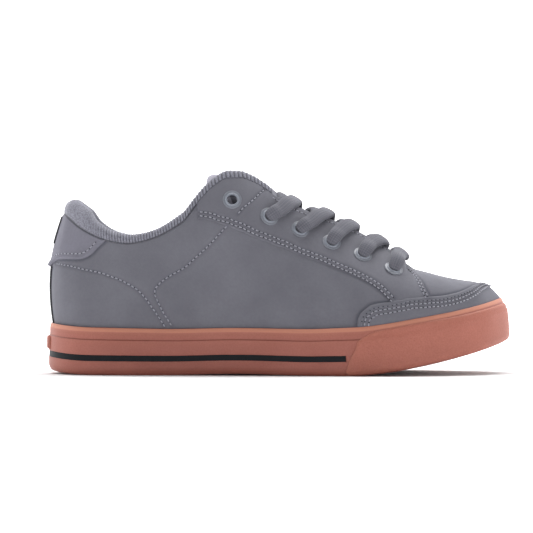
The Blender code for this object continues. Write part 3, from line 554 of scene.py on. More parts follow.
def even_places(points, pitch):
    """Places a pitch apart on a line; any values after the first three of each point go along."""
    length = length_along(points[:, :3])
    at = np.arange(0, length[-1], pitch)
    return np.stack([np.interp(at, length, points[:, k]) for k in range(points.shape[1])], -1)


def distance_to(lines, points):
    """From each point to the nearest point of the lines."""
    dots = np.concatenate(lines)
    tree = KDTree(len(dots))
    for number, dot in enumerate(dots):
        tree.insert(dot, number)
    tree.balance()
    flat = points.reshape(-1, 3)
    return np.array([tree.find(p)[2] for p in flat]).reshape(points.shape[:-1])


def rounded(distance, width):
    """How far a rounded edge has risen at a distance in from it, from 0 to 1."""
    t = np.clip(1 - distance / width, 0, 1)
    return np.sqrt(1 - t * t)


def edge_rise(face, borders, width):
    """How far the rounded edge along the borders has risen at each point of a face."""
    dots = [even_places(border, EDGE_PITCH) for border in borders]
    return rounded(distance_to(dots, face), width)


def curve_points(knots, points, at):
    """A smooth line through points, read at places along its knots."""
    return np.stack([curve(knots, values, at, tight=False) for values in points.T], -1)


def smooth_line(knots, count=60):
    """A smooth line through knots, each a station and a share."""
    knots = np.array(knots, float)
    run = length_along(knots * (1.0, SHARE_TO_STATION))
    return curve_points(run, knots, np.linspace(0, run[-1], count))


def round_toe(line):
    """A line of stations and shares on the outer side, mirrored beyond the toe's tip."""
    return np.concatenate((line, np.array(line)[-2::-1] * (-1, 1) + (2, 0)))


def round_heel(line):
    """A line of stations and shares on the outer side, with its mirror image behind the heel."""
    return np.concatenate((np.array(line)[:0:-1] * (-1, 1), line))


def plate_grid(place, columns, rows):
    """Stations and shares over a plate at the heel, given by half its width and its two ends."""
    half, low, high = place
    return np.meshgrid(half * (2 * crowded(columns) - 1), low + (high - low) * crowded(rows),
                       indexing="ij")


def across_ring(ring, count):
    """A grid over the inside of a ring of points, and how far each point lies from the ring."""
    half = len(ring) // 2
    left, right = ring[1:half], ring[-1:half:-1]
    across = crowded(count)
    grid = left[:, None] * (1 - across)[:, None] + right[:, None] * across[:, None]
    width = np.linalg.norm(right - left, axis=-1)[:, None]
    ends = np.minimum(grid[..., 0] - ring[0, 0], ring[half, 0] - grid[..., 0])
    return grid, np.minimum(np.minimum(across, 1 - across) * width, ends)


# ======== Seams and creases, each a line of stations and shares

STAY_SEAM = ((0.3945, 0.905), (0.4125, 0.792), (0.431, 0.695), (0.450, 0.645), (0.4755, 0.608),
             (0.5015, 0.610), (0.525, 0.593), (0.553, 0.560), (0.5845, 0.508), (0.617, 0.448),
             (0.6375, 0.372), (0.652, 0.283), (0.6635, 0.205))
SHORT_SEAM = ((0.4475, 0.708), (0.4655, 0.815), (0.483, 0.985))
QUARTER_SEAM = ((0.433, 0.635), (0.4055, 0.575), (0.377, 0.555), (0.3465, 0.525), (0.339, 0.505),
                (0.327, 0.443), (0.3245, 0.383), (0.328, 0.302), (0.331, 0.250), (0.338, 0.147),
                (0.3485, 0.028))
COUNTER_SEAM = ((0.0672, 0.520), (0.1079, 0.535), (0.1478, 0.568), (0.1760, 0.582), (0.2001, 0.595),
                (0.2233, 0.602), (0.2341, 0.602), (0.2449, 0.588), (0.2557, 0.575), (0.2682, 0.552),
                (0.2765, 0.528), (0.2905, 0.473), (0.3045, 0.380), (0.3175, 0.247), (0.3285, 0.128),
                (0.3375, 0.028))
GUARD_EDGE = ((0.6067, 0.015), (0.6083, 0.068), (0.6125, 0.108), (0.6192, 0.138), (0.6275, 0.168),
              (0.6400, 0.180), (0.6542, 0.182), (0.6650, 0.186), (0.6808, 0.186), (0.6975, 0.188),
              (0.7142, 0.188), (0.7325, 0.186), (0.7525, 0.190), (0.7750, 0.212), (0.7942, 0.245),
              (0.8183, 0.310), (0.8517, 0.452), (0.9083, 0.640), (0.9600, 0.705), (1.0, 0.715))
FRONT_EDGE = ((0.6840, 1.000), (0.6890, 0.800), (0.6970, 0.650), (0.7010, 0.605), (0.7105, 0.465),
              (0.7143, 0.398), (0.7176, 0.312), (0.7201, 0.268), (0.7251, 0.200), (0.7275, 0.168))
TAB_EDGE = ((0.0, 0.468), (0.0074, 0.473), (0.0350, 0.508), (0.0597, 0.538), (0.1054, 0.585),
            (0.1494, 0.645), (0.1752, 0.685), (0.1918, 0.732), (0.2067, 0.795), (0.2175, 0.865),
            (0.2267, 0.930), (0.2366, 0.992))
THROAT_SEAM = ((0.492, 0.962), (0.53, 0.962), (0.58, 0.962), (0.63, 0.955), (0.655, 0.93),
               (0.672, 0.90))

STITCH_PITCH = 0.0028
STITCH_LENGTH = 0.0020
STITCH_WIDTH = 0.00078
STITCH_TILT = 0.16
STITCH_RINGS = 7
STITCH_SIDES = 6
NEEDLE_HOLE_WIDTH = 0.00095
SEAM_DEPTH = 0.00040
SEAM_WIDTH = 0.0011
PANEL_HEIGHT = 0.0007
PANEL_UNDER = 0.0004
GUARD_HEIGHT = 0.0012
GUARD_LOW = -0.05
TAB_HEIGHT = 0.0013
TAB_LIP = 0.0018
PATCH_HEIGHT = 0.0008
STRIP_HEIGHT = 0.0009
WEBBING_EDGE = 0.0006
EDGE_WIDTH = 0.0011
EDGE_SINK = 0.0002
SOFT_EDGE = 0.0024

# The sewn rows of each seam: how far each row lies beside its line, above 0 up or towards the toe
STAY_ROWS = (0.0, -0.0025)
FRONT_ROWS = (-0.0014, -0.0031)
GUARD_ROWS = (-0.0045, -0.0070)
GUARD_WEAK_ROW = -0.0027
TAB_ROW = 0.0032

# The narrow shadow beside a panel's edge: how far off it lies, and its width
EDGE_SHADE = 0.0005
SHADE_WIDTH = 0.0010

# Soft creases where the shoe flexes and where panels pull: a line, a width and a depth
CREASES = (
    (((0.640, 0.10), (0.655, 0.17), (0.664, 0.24)), 0.0050, 0.00045),
    (((0.590, 0.05), (0.602, 0.18), (0.612, 0.34)), 0.0080, 0.00050),
    (((0.555, 0.10), (0.560, 0.26), (0.568, 0.42)), 0.0100, 0.00040),
    (((0.350, 0.62), (0.372, 0.72), (0.398, 0.80)), 0.0070, 0.00050),
    (((0.290, 0.66), (0.330, 0.70), (0.368, 0.80)), 0.0080, -0.00050),
    (((0.745, 0.42), (0.742, 0.62), (0.735, 0.84)), 0.0060, 0.00040),
    (((0.790, 0.50), (0.785, 0.70), (0.780, 0.92)), 0.0070, 0.00030),
    (((0.100, 0.30), (0.180, 0.36), (0.250, 0.34)), 0.0110, 0.00045),
    (((0.420, 0.15), (0.440, 0.32), (0.465, 0.46)), 0.0120, 0.00045),
)


def mirrored(line, side):
    return np.array(line, float) * (side, 1.0)


def on_upper(line, height=0.0, count=60):
    """A seam's line in space, with the direction out of the upper at each point."""
    places = smooth_line(line, count)
    spots = upper_point(places[:, 0], places[:, 1], height)
    return spots, upper_normal(places[:, 0], places[:, 1])


def beside(spots, outs, apart):
    """The same line moved sideways over the surface."""
    ahead = unit(np.gradient(spots, axis=0))
    return spots + unit(np.cross(outs, ahead)) * apart


def seam_lines():
    """Every sewn line, on both sides, for the dent that its thread pulls."""
    lines = []
    for side in (1, -1):
        for seam, rows in ((STAY_SEAM, STAY_ROWS), (SHORT_SEAM, (0.0,)), (QUARTER_SEAM, (0.0,)),
                           (COUNTER_SEAM, (0.0,)), (FRONT_EDGE, FRONT_ROWS)):
            spots, outs = on_upper(mirrored(seam, side), count=160)
            lines += [beside(spots, outs, side * row) for row in rows]
    return lines


def shaded_lines():
    """Just outside the panels' edges, where they cast a narrow shadow."""
    lines = []
    for side in (1, -1):
        for edge, off in ((TAB_EDGE, -EDGE_SHADE), (GUARD_EDGE, EDGE_SHADE),
                          (FRONT_EDGE, EDGE_SHADE)):
            spots, outs = on_upper(mirrored(edge, side), count=160)
            lines.append(even_places(beside(spots, outs, side * off), 0.0004))
    return lines


SEAMS = seam_lines()
SHADED = shaded_lines()
CREASE_LINES = [
    ([on_upper(mirrored(line, side), count=40)[0] for side in (1, -1)], width, depth)
    for line, width, depth in CREASES
]


def relief(spots):
    """How far the upper's surface rises or falls at each point, and how deep it lies in a seam."""
    seam = np.exp(-(distance_to(SEAMS, spots) / SEAM_WIDTH) ** 2)
    rise = -SEAM_DEPTH * seam
    for lines, width, depth in CREASE_LINES:
        rise = rise - depth * np.exp(-(distance_to(lines, spots) / width) ** 2)
    return rise, seam


def eyelet_frame(side, row):
    """An eyelet's place, and the directions along the edge, up the wall and outwards."""
    station, share = side * EYELETS["station"][row], EYELETS["share"][row]
    place = upper_point(station, share)
    out = upper_normal(station, share)
    along_it = unit(np.cross(out, upper_face(station, share + 0.02) - place))
    return place, along_it, np.cross(out, along_it), out


FRAMES = {(side, row): eyelet_frame(side, row) for side in (1, -1) for row in range(6)}


def clear_of_eyelets(points, faces, radius=EYELET_BARREL):
    """Leaves out the faces over an eyelet's hole."""
    middle = np.array([points[list(face)].mean(0) for face in faces])
    keep = np.ones(len(faces), bool)
    for place, along_it, up, out in FRAMES.values():
        apart = middle - place
        flat = np.hypot(apart @ along_it, apart @ up)
        keep &= (flat > radius) | (np.abs(apart @ out) > 0.012)
    return keep


# ======== Finishes

# The numbers of a mixing node's sockets: its share, its two colours and its result
SHARE, FIRST, SECOND, MIXED = 0, 6, 7, 2


def colour(code):
    """An sRGB hex value as a linear colour."""
    parts = [int(code[k:k + 2], 16) / 255 for k in (1, 3, 5)]
    return (*[p / 12.92 if p <= 0.04045 else ((p + 0.055) / 1.055) ** 2.4 for p in parts], 1.0)


def add_node(tree, kind, inputs=(), **settings):
    """A node with its settings; an input takes a value, or the socket that is linked to it."""
    made = tree.nodes.new(kind)
    for name, value in settings.items():
        setattr(made, name, value)
    for name, value in dict(inputs).items():
        if isinstance(value, bpy.types.NodeSocket):
            tree.links.new(value, made.inputs[name])
        else:
            made.inputs[name].default_value = value
    return made


def finish(name, **sockets):
    """A new material, its node tree and its shader with the plain values set."""
    made = bpy.data.materials.new(name)
    made.use_nodes = True
    shader = made.node_tree.nodes["Principled BSDF"]
    for key, value in sockets.items():
        shader.inputs[key.replace("_", " ")].default_value = value
    return made, made.node_tree, shader


def noise(tree, size, detail):
    """Soft spots of a size, fixed to the shoe."""
    where = add_node(tree, "ShaderNodeTexCoord").outputs["Object"]
    spots = {"Vector": where, "Scale": 1 / size, "Detail": detail}
    return add_node(tree, "ShaderNodeTexNoise", spots).outputs["Fac"]


def cells(tree, size):
    """Round cells of a size, fixed to the shoe, as the distance from each one's middle."""
    where = add_node(tree, "ShaderNodeTexCoord").outputs["Object"]
    made = add_node(tree, "ShaderNodeTexVoronoi", {"Vector": where, "Scale": 1 / size})
    return made.outputs["Distance"]


def maths(tree, operation, *values):
    made = add_node(tree, "ShaderNodeMath", enumerate(values), operation=operation)
    return made.outputs[0]


def ranged(tree, value, low=0.0, high=1.0, start=0.0, end=1.0):
    """Takes low to start and high to end, and holds the value between them."""
    span = {"Value": value, "From Min": low, "From Max": high, "To Min": start, "To Max": end}
    return add_node(tree, "ShaderNodeMapRange", span).outputs["Result"]


def mixed(tree, share, first, second):
    """A colour between two; each is a colour code or comes from another node."""
    first, second = [colour(c) if isinstance(c, str) else c for c in (first, second)]
    made = add_node(tree, "ShaderNodeMix", {SHARE: share, FIRST: first, SECOND: second},
                    data_type="RGBA")
    return made.outputs[MIXED]


def tinted(tree, base, share, code):
    """The base colour, drawn towards another by a share of the painted shade and highlight at each
    point.
    """
    groove = add_node(tree, "ShaderNodeAttribute", attribute_name="groove")
    return mixed(tree, maths(tree, "MULTIPLY", groove.outputs["Fac"], share), base, code)


def bump(tree, height, distance, strength, **under):
    made = add_node(tree, "ShaderNodeBump", {
        "Height": height, "Distance": distance, "Strength": strength, **under})
    return made.outputs["Normal"]


def wire(tree, shader, **sockets):
    """Links the shader's sockets to what drives them."""
    for key, value in sockets.items():
        tree.links.new(value, shader.inputs[key.replace("_", " ")])


def make_nubuck(name="buffed_synthetic_nubuck", light="#6f6f77", dark="#67676f"):
    """Synthetic nubuck, buffed to a short nap: matt, faintly mottled, a soft sheen at grazing
    angles, with painted shade where thread pulls it down and along the panels' edges."""
    made, tree, shader = finish(name, IOR=1.46, Sheen_Weight=0.10, Sheen_Roughness=0.45,
                                Specular_IOR_Level=0.30)
    shader.inputs["Sheen Tint"].default_value = colour("#c9c9d6")
    # clouding of 22 mm gives the uneven dye, nap of 1.6 mm the pile, grain of 0.45 mm the buffing
    cloud, nap, grain = noise(tree, 0.022, 3), noise(tree, 0.0016, 3), noise(tree, 0.00045, 2)
    dyed = mixed(tree, ranged(tree, cloud, 0.3, 0.7), dark, light)
    napped = mixed(tree, ranged(tree, nap, 0.35, 0.75, 0, 0.16), dyed, "#585861")
    fine = bump(tree, grain, 0.00008, 0.55)
    # painted shade: drawn to dark grey along seams, over panel edges and in the painted shadow
    # beside them
    wire(tree, shader, Base_Color=tinted(tree, napped, 0.42, "#44444e"),
         Roughness=ranged(tree, nap, 0, 1, 0.66, 0.86),
         Normal=bump(tree, nap, 0.00012, 0.5, Normal=fine))
    return made


def make_knit():
    """Polyester rib knit over foam: soft and matt, yarns of about 1 mm, with painted shade down in
    the ribs.
    """
    made, tree, shader = finish("ribbed_polyester_knit", Roughness=0.95, IOR=1.5, Sheen_Weight=0.22,
                                Sheen_Roughness=0.6, Specular_IOR_Level=0.2)
    yarn = cells(tree, 0.0010)
    loops = mixed(tree, yarn, "#9696a2", "#6b6b76")
    # painted shade: drawn to near black down in the ribs
    wire(tree, shader, Base_Color=tinted(tree, loops, 0.92, "#2b2b32"),
         Normal=bump(tree, yarn, 0.00030, 0.7))
    return made


def make_lace():
    """Flat braided polyester, 8.5 mm wide: plaits of about 2 mm with fine yarns of 0.7 mm across
    them, matt with a dry sheen, and painted shade between the plaits."""
    made, tree, shader = finish("braided_polyester_lace", Roughness=0.88, IOR=1.5,
                                Sheen_Weight=0.15, Sheen_Roughness=0.5, Specular_IOR_Level=0.2)
    flow = add_node(tree, "ShaderNodeAttribute", attribute_name="flow").outputs["Vector"]
    parts = add_node(tree, "ShaderNodeSeparateXYZ", {"Vector": flow}).outputs
    slant = maths(tree, "ADD", parts["X"], parts["Y"])
    yarns = ranged(tree, maths(tree, "SINE", maths(tree, "MULTIPLY", slant, math.tau / 0.0007)), -1)
    body = mixed(tree, yarns, "#63636b", "#797982")
    # painted shade between the plaits
    wire(tree, shader, Base_Color=tinted(tree, body, 0.85, "#3b3b43"),
         Normal=bump(tree, yarns, 0.00012, 0.5))
    return made


def make_gum(name, light, dark, rough, grain=0.0):
    """Gum rubber from a steel mould: reddish brown, satin, a painted highlight on its chamfer and
    edges, painted shade in its steps and grooves, and a pebbled face where the mould is grained."""
    made, tree, shader = finish(name, IOR=1.52, Specular_IOR_Level=0.40, Coat_Weight=0.05,
                                Coat_Roughness=0.35)
    # depth of 30 mm gives the slow change of colour, bloom of 0.9 mm the fine specks on the face
    depth, bloom = noise(tree, 0.030, 3), noise(tree, 0.0009, 3)
    body = mixed(tree, ranged(tree, depth, 0.3, 0.7), dark, light)
    speckled = mixed(tree, ranged(tree, bloom, 0.35, 0.8, 0, 0.30), body, "#7f473a")
    # painted shade in steps and grooves above 0, painted highlight on the chamfer and rounded edges
    # below 0
    shaded_and_highlighted = tinted(tree, tinted(tree, speckled, 0.7, "#63342a"), -0.6, "#d39278")
    height, rise = (cells(tree, grain), 0.00028) if grain else (bloom, 0.00005)
    wire(tree, shader, Base_Color=shaded_and_highlighted, Normal=bump(tree, height, rise, 0.7),
         Roughness=ranged(tree, bloom, 0, 1, rough - 0.06, rough + 0.10))
    return made


def make_black_rubber():
    """Black rubber foxing stripe: satin, nearly flat."""
    made, tree, shader = finish("black_foxing_rubber", IOR=1.52, Roughness=0.5,
                                Specular_IOR_Level=0.15)
    fine = noise(tree, 0.0012, 2)
    wire(tree, shader, Base_Color=mixed(tree, fine, "#101216", "#191c21"),
         Normal=bump(tree, fine, 0.00004, 0.5))
    return made


def make_webbing():
    """Black nylon webbing: a plain weave with threads of 0.8 mm that catch a little light."""
    made, tree, shader = finish("black_nylon_webbing", IOR=1.53, Roughness=0.7,
                                Specular_IOR_Level=0.3, Sheen_Weight=0.12)
    where = add_node(tree, "ShaderNodeTexCoord").outputs["Object"]
    parts = add_node(tree, "ShaderNodeSeparateXYZ", {"Vector": where}).outputs
    warp, weft = [maths(tree, "SINE", maths(tree, "MULTIPLY", parts[axis], math.pi / 0.0008))
                  for axis in "YZ"]
    weave = ranged(tree, maths(tree, "MULTIPLY", warp, weft), -1)
    wire(tree, shader, Base_Color=mixed(tree, weave, "#131419", "#2c2e35"),
         Normal=bump(tree, weave, 0.00020, 0.7))
    return made


def make_cloth(name, light, dark, mesh_size):
    """Knitted polyester cloth, for linings and footbed: a fine open mesh, matt."""
    made, tree, shader = finish(name, Roughness=0.95, IOR=1.5, Sheen_Weight=0.15,
                                Specular_IOR_Level=0.2)
    loops = cells(tree, mesh_size)
    wire(tree, shader, Base_Color=mixed(tree, loops, light, dark),
         Normal=bump(tree, loops, 0.00025, 0.7))
    return made


def make_enamel():
    """Brass eyelets under grey-blue enamel: smooth and satin, with a painted highlight on the
    rolled bead and worn patches of 1.8 mm."""
    made, tree, shader = finish("enamelled_brass_eyelet", IOR=1.5, Coat_Weight=0.15,
                                Coat_Roughness=0.25, Specular_IOR_Level=0.4)
    wear = noise(tree, 0.0018, 2)
    bead = mixed(tree, wear, "#767b85", "#868b95")
    # painted highlight: the bead keeps the lighter colours, the flange and barrel are drawn to the
    # plain enamel
    wire(tree, shader, Base_Color=tinted(tree, bead, 1.0, "#72757e"),
         Roughness=ranged(tree, wear, 0, 1, 0.34, 0.52))
    return made


def make_thread(name, light, dark, rough):
    """Bonded nylon thread of 0.7 mm, laid in two plies: a soft gloss along each stitch."""
    made, tree, shader = finish(name, IOR=1.53, Roughness=rough, Sheen_Weight=0.1)
    wire(tree, shader, Base_Color=mixed(tree, noise(tree, 0.0006, 1), dark, light))
    return made


NUBUCK = make_nubuck()
TAB_NUBUCK = make_nubuck("buffed_heel_nubuck", "#777681", "#6e6d77")
KNIT = make_knit()
LACE = make_lace()
GUM = make_gum("moulded_gum_rubber", "#a86557", "#9f5d4f", 0.52)
GRAINED_GUM = make_gum("grained_gum_rubber", "#b16b5b", "#a76352", 0.58, 0.0011)
TREAD_GUM = make_gum("tread_gum_rubber", "#965c4e", "#8b5447", 0.60)
BLACK_RUBBER = make_black_rubber()
WEBBING = make_webbing()
LINING = make_cloth("warp_knit_lining", "#5c5c66", "#3d3d45", 0.0011)
SOCK_CLOTH = make_cloth("brushed_sock_cloth", "#4b4b54", "#34343b", 0.0008)
TONGUE_CLOTH = make_cloth("light_tongue_knit", "#a5a3af", "#85838f", 0.0010)
ENAMEL = make_enamel()
THREAD = make_thread("bonded_nylon_thread", "#a1a1ac", "#80808a", 0.7)
# a darker copy of the thread: painted shade for the row by the guard's edge
SHADED_THREAD = make_thread("shaded_nylon_thread", "#75757f", "#64646d", 0.8)
# dark discs at the needle holes: painted shade in the holes
NEEDLE_HOLE_SHADE = make_thread("needle_hole_painted_shade", "#33333a", "#28282e", 0.9)


# ======== The upper and the panels on it

def make_upper_skin():
    """The whole upper as one sheet 2 mm thick, nubuck outside and lining inside."""
    columns = 560
    stations = np.linspace(0, 2, columns, endpoint=False)
    shares = np.concatenate((np.linspace(-0.9, 0, 4)[:-1], np.linspace(0, 1, 54)))
    rows = len(shares)
    face = upper_face(stations[:, None], shares)
    out = upper_normal(stations[:, None], shares)
    rise, seam = relief(face)
    fade = smooth_step(1.0, 0.96, shares) * smooth_step(-0.02, 0.04, shares)
    outer = face + out * (rise * fade)[..., None]
    inner = face - out * WALL
    number = np.arange(columns * rows).reshape(columns, rows)
    closed_top = np.abs(wrapped(stations)) >= THROAT_END
    twin = (-np.arange(columns)) % columns
    number[closed_top, -1] = np.minimum(number[:, -1], number[twin, -1])[closed_top]
    after = np.roll(number, -1, axis=0)
    quads = np.stack((number[:, :-1], after[:, :-1], after[:, 1:], number[:, 1:]), -1)
    quads = quads.reshape(-1, 4)
    size = columns * rows
    foot = np.stack((number[:, 0] + size, after[:, 0] + size, after[:, 0], number[:, 0]), -1)
    both = closed_top & np.roll(closed_top, -1)
    rim = np.stack((number[:, -1], after[:, -1], after[:, -1] + size, number[:, -1] + size), -1)
    rim = rim[~both]
    points = np.concatenate((outer.reshape(-1, 3), inner.reshape(-1, 3)))
    faces = np.concatenate((quads, quads[:, ::-1] + size, foot, rim))
    which = np.concatenate((np.zeros(len(quads)), np.ones(len(quads)),
                            np.zeros(len(foot) + len(rim))))
    keep = clear_of_eyelets(points, faces)
    # painted shade along the seams and a painted shadow just beside the panels' edges
    shade = 1.6 * np.exp(-(distance_to(SHADED, face) / SHADE_WIDTH) ** 2)
    groove = np.concatenate((np.maximum(seam, shade).ravel(), np.zeros(size)))
    piece("upper_skin", points, faces[keep], (NUBUCK, LINING), ("upper",), which[keep],
          groove)


def panel(name, stations, shares, finish_of, stands_for, height, base=0.0, flare=0.0,
          soft=EDGE_WIDTH):
    """A sewn panel over the upper, rounded down at its edges. Its grids run along, then up."""
    face = upper_face(stations, shares)
    out = upper_normal(stations, shares)
    border = np.concatenate((face[:, 0], face[-1], face[::-1, -1], face[0, ::-1]))
    rise, seam = relief(face)
    edge = edge_rise(face, (border,), soft)
    lift = base + (height + rise + flare) * edge - EDGE_SINK * (1 - edge)
    points, faces = closed_sheet(face + out * lift[..., None], face + out * (base - PANEL_UNDER))
    # painted shade along the seams and over the panel's rounded edge
    groove = np.concatenate((np.maximum(seam, 0.55 * (1 - edge)).ravel(), np.zeros(seam.size)))
    piece(name, points, faces, (finish_of,), stands_for, None, groove)


# The eyelet panel's upper edge, point for point above its seam, and its lower edge in front
STAY_TOP = (0.3915, 0.405, 0.424, 0.448, 0.474, 0.500, 0.525, 0.553, 0.5845, 0.617, 0.638, 0.656,
            0.670, 0.677, 0.684)
STAY_BACK = (0.3925, 0.860)
STAY_FRONT = ((0.668, 0.16), (0.700, 0.16), (0.7275, 0.165))
STAY_MARGIN = 0.055
# How its edge folds over the throat: how far past the edge, and at what height
STAY_FOLD = ((0.0008, 0.00085), (0.0013, 0.0), (0.0013, -WALL * 0.6), (0.0008, -WALL - 0.0005),
             (-0.003, -WALL - 0.0006))
# Its edge's height where it lies flat
STAY_FLAT = 0.0004


def make_eyestay(word, side):
    """One side's eyelet panel, from the collar to its front seam, folded over the throat's edge."""
    low = [STAY_BACK] + [(s, v - STAY_MARGIN) for s, v in STAY_SEAM[1:-1]] + list(STAY_FRONT)
    low = np.array(low)
    high = np.array([(s, 1.0) for s in STAY_TOP])
    knots = np.arange(len(low), dtype=float)
    at = np.concatenate((np.linspace(0, 1, 24)[:-1] ** 1.4, np.linspace(1, len(low) - 1, 230)))
    close = 1 - (1 - np.linspace(0, 1, 20)) ** 1.7
    at = np.concatenate((at[:-20], at[-20] + (at[-1] - at[-20]) * close))
    up = crowded(64)
    lower = [curve(knots, low[:, k], at)[:, None] for k in (0, 1)]
    upper = [curve(knots, high[:, k], at)[:, None] for k in (0, 1)]
    stations = lower[0] * (1 - up) + upper[0] * up
    shares = lower[1] * (1 - up) + upper[1] * up
    edge_line = smooth_line(FRONT_EDGE, 80)[::-1]
    front = np.interp(shares, edge_line[:, 1], edge_line[:, 0])
    last = smooth_step(0.80, 1.0, at / at[-1])[:, None]
    stations = stations + last * (front - stations[-1])
    wrap = smooth_step(0.486, 0.505, stations[:, -1])
    wrap = wrap * (1 - smooth_step(0.680, 0.684, stations[:, -1]))
    length = wall_length(stations[:, -1])
    face = upper_face(side * stations, shares)
    out = upper_normal(side * stations, shares)
    edge = edge_rise(face, (face[-1], face[0]), EDGE_WIDTH)
    edge = np.minimum(edge, edge_rise(face, (face[:, 0],), SOFT_EDGE))
    rise, seam = relief(face)
    lift = (PANEL_HEIGHT + rise) * edge - EDGE_SINK * (1 - edge)
    outer = face + out * lift[..., None]
    folds = []
    for over, height in STAY_FOLD:
        share = 1 + over / length * wrap
        deep = height * wrap + (1 - wrap) * STAY_FLAT
        folds.append(upper_point(side * stations[:, -1], share, deep))
    back = upper_point(side * stations[:, -1], 1 - 0.003 / length, -WALL * 0.7)
    under = face[:, ::-4] - out[:, ::-4] * 0.0005
    rows = np.concatenate((outer, np.stack(folds, 1), back[:, None], under), 1)
    if side < 0:
        rows = rows[::-1]
    points, faces = tube(rows)
    groove = np.zeros(rows.shape[:2])
    # painted shade along the seams, and a lighter one over the panel's rounded edge
    marks = np.maximum(seam, 0.25 * (1 - edge))
    groove[:, :marks.shape[1]] = marks[::side]
    keep = clear_of_eyelets(points, faces)
    faces = [f for f, k in zip(faces, keep) if k]
    piece(f"eyelet_panel_{word}", points, faces, (NUBUCK,), (f"eyestay_{word}",), None,
          groove.ravel())


def make_toe_guard():
    """The guard round the toe, from the rim of the sole up to its sewn edge."""
    stations, tops = round_toe(smooth_line(GUARD_EDGE, 180)).T[..., None]
    up = crowded(32)
    shares = GUARD_LOW + (tops - GUARD_LOW) * up
    panel("toe_guard_panel", stations + 0 * up, shares, NUBUCK, ("toe_guard",),
          GUARD_HEIGHT)


def make_heel_tab():
    """The tab behind the collar, whose lower lip stands off, with its black patch and strip."""
    stations, lows = round_heel(smooth_line(TAB_EDGE, 110)).T[..., None]
    up = crowded(44)
    shares = lows + (1.0 - lows) * up
    lip = TAB_LIP * np.exp(-((shares - lows) / 0.035) ** 2) * np.exp(-(stations / 0.09) ** 2)
    panel("heel_tab_panel", stations + 0 * up, shares, TAB_NUBUCK, ("heel_tab",),
          TAB_HEIGHT, flare=lip)
    for name, place, rows, height, base in (
            ("heel_patch", HEEL_PATCH, 30, PATCH_HEIGHT, TAB_HEIGHT),
            ("heel_strip", HEEL_STRIP, 60, STRIP_HEIGHT, 0.0)):
        across, upward = plate_grid(place, 30, rows)
        panel(f"{name}_webbing", across, upward, WEBBING, (name,), height, base,
              soft=WEBBING_EDGE)


# ======== Stitches

def stitch_row(name, rows, thread_finish=THREAD):
    """Stitches along lines in space, each line with its directions outwards, and a dark disc of
    painted shade at each needle hole.
    """
    bend = np.linspace(-1, 1, STITCH_RINGS)
    round_it = np.arange(STITCH_SIDES) / STITCH_SIDES * math.tau
    girth = np.sqrt(np.clip(1 - bend**4, 0.03, 1)) * STITCH_WIDTH / 2
    # the thread is flattened, and humped between its two holes
    lift = (1 - bend[:, None] ** 2) * 0.00014
    template = np.stack((
        np.repeat(bend * STITCH_LENGTH / 2, STITCH_SIDES),
        (girth[:, None] * np.cos(round_it)).ravel(),
        (girth[:, None] * np.sin(round_it) * 0.7 + lift - 0.00004).ravel(),
    ), -1)
    ends = tube(template.reshape(STITCH_RINGS, STITCH_SIDES, 3))[1]
    thread, thread_faces, holes, hole_faces = [], [], [], []
    # each needle hole is a dark disc standing just proud: painted shade
    disc = np.stack((np.cos(round_it), np.sin(round_it) * 0.9, 0 * round_it), -1)
    disc = disc * NEEDLE_HOLE_WIDTH / 2
    cap = np.concatenate((disc - (0, 0, 0.0003), disc * (0.8, 0.8, 1) + (0, 0, 0.00012)))
    cap_faces = tube(cap.reshape(2, STITCH_SIDES, 3))[1]
    for spots, outs in rows:
        both = even_places(np.concatenate((spots, outs), 1), STITCH_PITCH / 8)
        middle = both[4::8]
        ahead = unit(np.gradient(both[:, :3], axis=0))[4::8]
        out = unit(middle[:, 3:])
        wide = unit(np.cross(out, ahead))
        out = np.cross(ahead, wide)
        for number, (place, t, n, b) in enumerate(zip(middle[:, :3], ahead, out, wide)):
            tilt = STITCH_TILT * math.sin(2.4 * number)
            c, s = math.cos(tilt), math.sin(tilt)
            axes = np.stack((t * c + b * s, b * c - t * s, n))
            start = len(template) * len(thread)
            thread_faces += [tuple(start + k for k in f) for f in ends]
            thread.append(place + template @ axes)
            start = len(cap) * len(holes)
            hole_faces += [tuple(start + k for k in f) for f in cap_faces]
            holes.append(place + t * STITCH_PITCH / 2 + cap @ axes)
    piece(f"thread_{name}", np.concatenate(thread), thread_faces, (thread_finish,))
    piece(f"needle_hole_shades_{name}", np.concatenate(holes), hole_faces, (NEEDLE_HOLE_SHADE,))


def sewn(line, side, height, apart=0.0, count=120):
    """A sewn row at a height over the upper, moved sideways by a distance."""
    spots, outs = on_upper(mirrored(line, side), 0.0, count)
    if apart:
        spots = beside(spots, outs, side * apart)
    rise = relief(spots)[0]
    return spots + outs * (height + rise)[..., None], outs


def make_stitches():
    for word, side in (("lateral", 1), ("medial", -1)):
        rows = [sewn(STAY_SEAM, side, PANEL_HEIGHT, row) for row in STAY_ROWS]
        rows += [sewn(FRONT_EDGE, side, PANEL_HEIGHT, row) for row in FRONT_ROWS]
        rows += [sewn(seam, side, PANEL_HEIGHT) for seam in (SHORT_SEAM, THROAT_SEAM)]
        stitch_row(f"eyelet_panel_{word}", rows)
        stitch_row(f"quarter_{word}", (sewn(QUARTER_SEAM, side, 0.0),))
        stitch_row(f"counter_{word}", (sewn(COUNTER_SEAM, side, 0.0),))
    around = round_toe(GUARD_EDGE)
    stitch_row("toe_guard", [sewn(around, 1, GUARD_HEIGHT, row, 420) for row in GUARD_ROWS])
    # the row by the guard's edge in the darker thread, painted shade
    stitch_row("guard_edge", [sewn(around, 1, GUARD_HEIGHT, GUARD_WEAK_ROW, 420)], SHADED_THREAD)
    stitch_row("heel_tab", [sewn(round_heel(TAB_EDGE)[1:-1], 1, TAB_HEIGHT, TAB_ROW, 200)])


# ======== Collar, tongue and laces

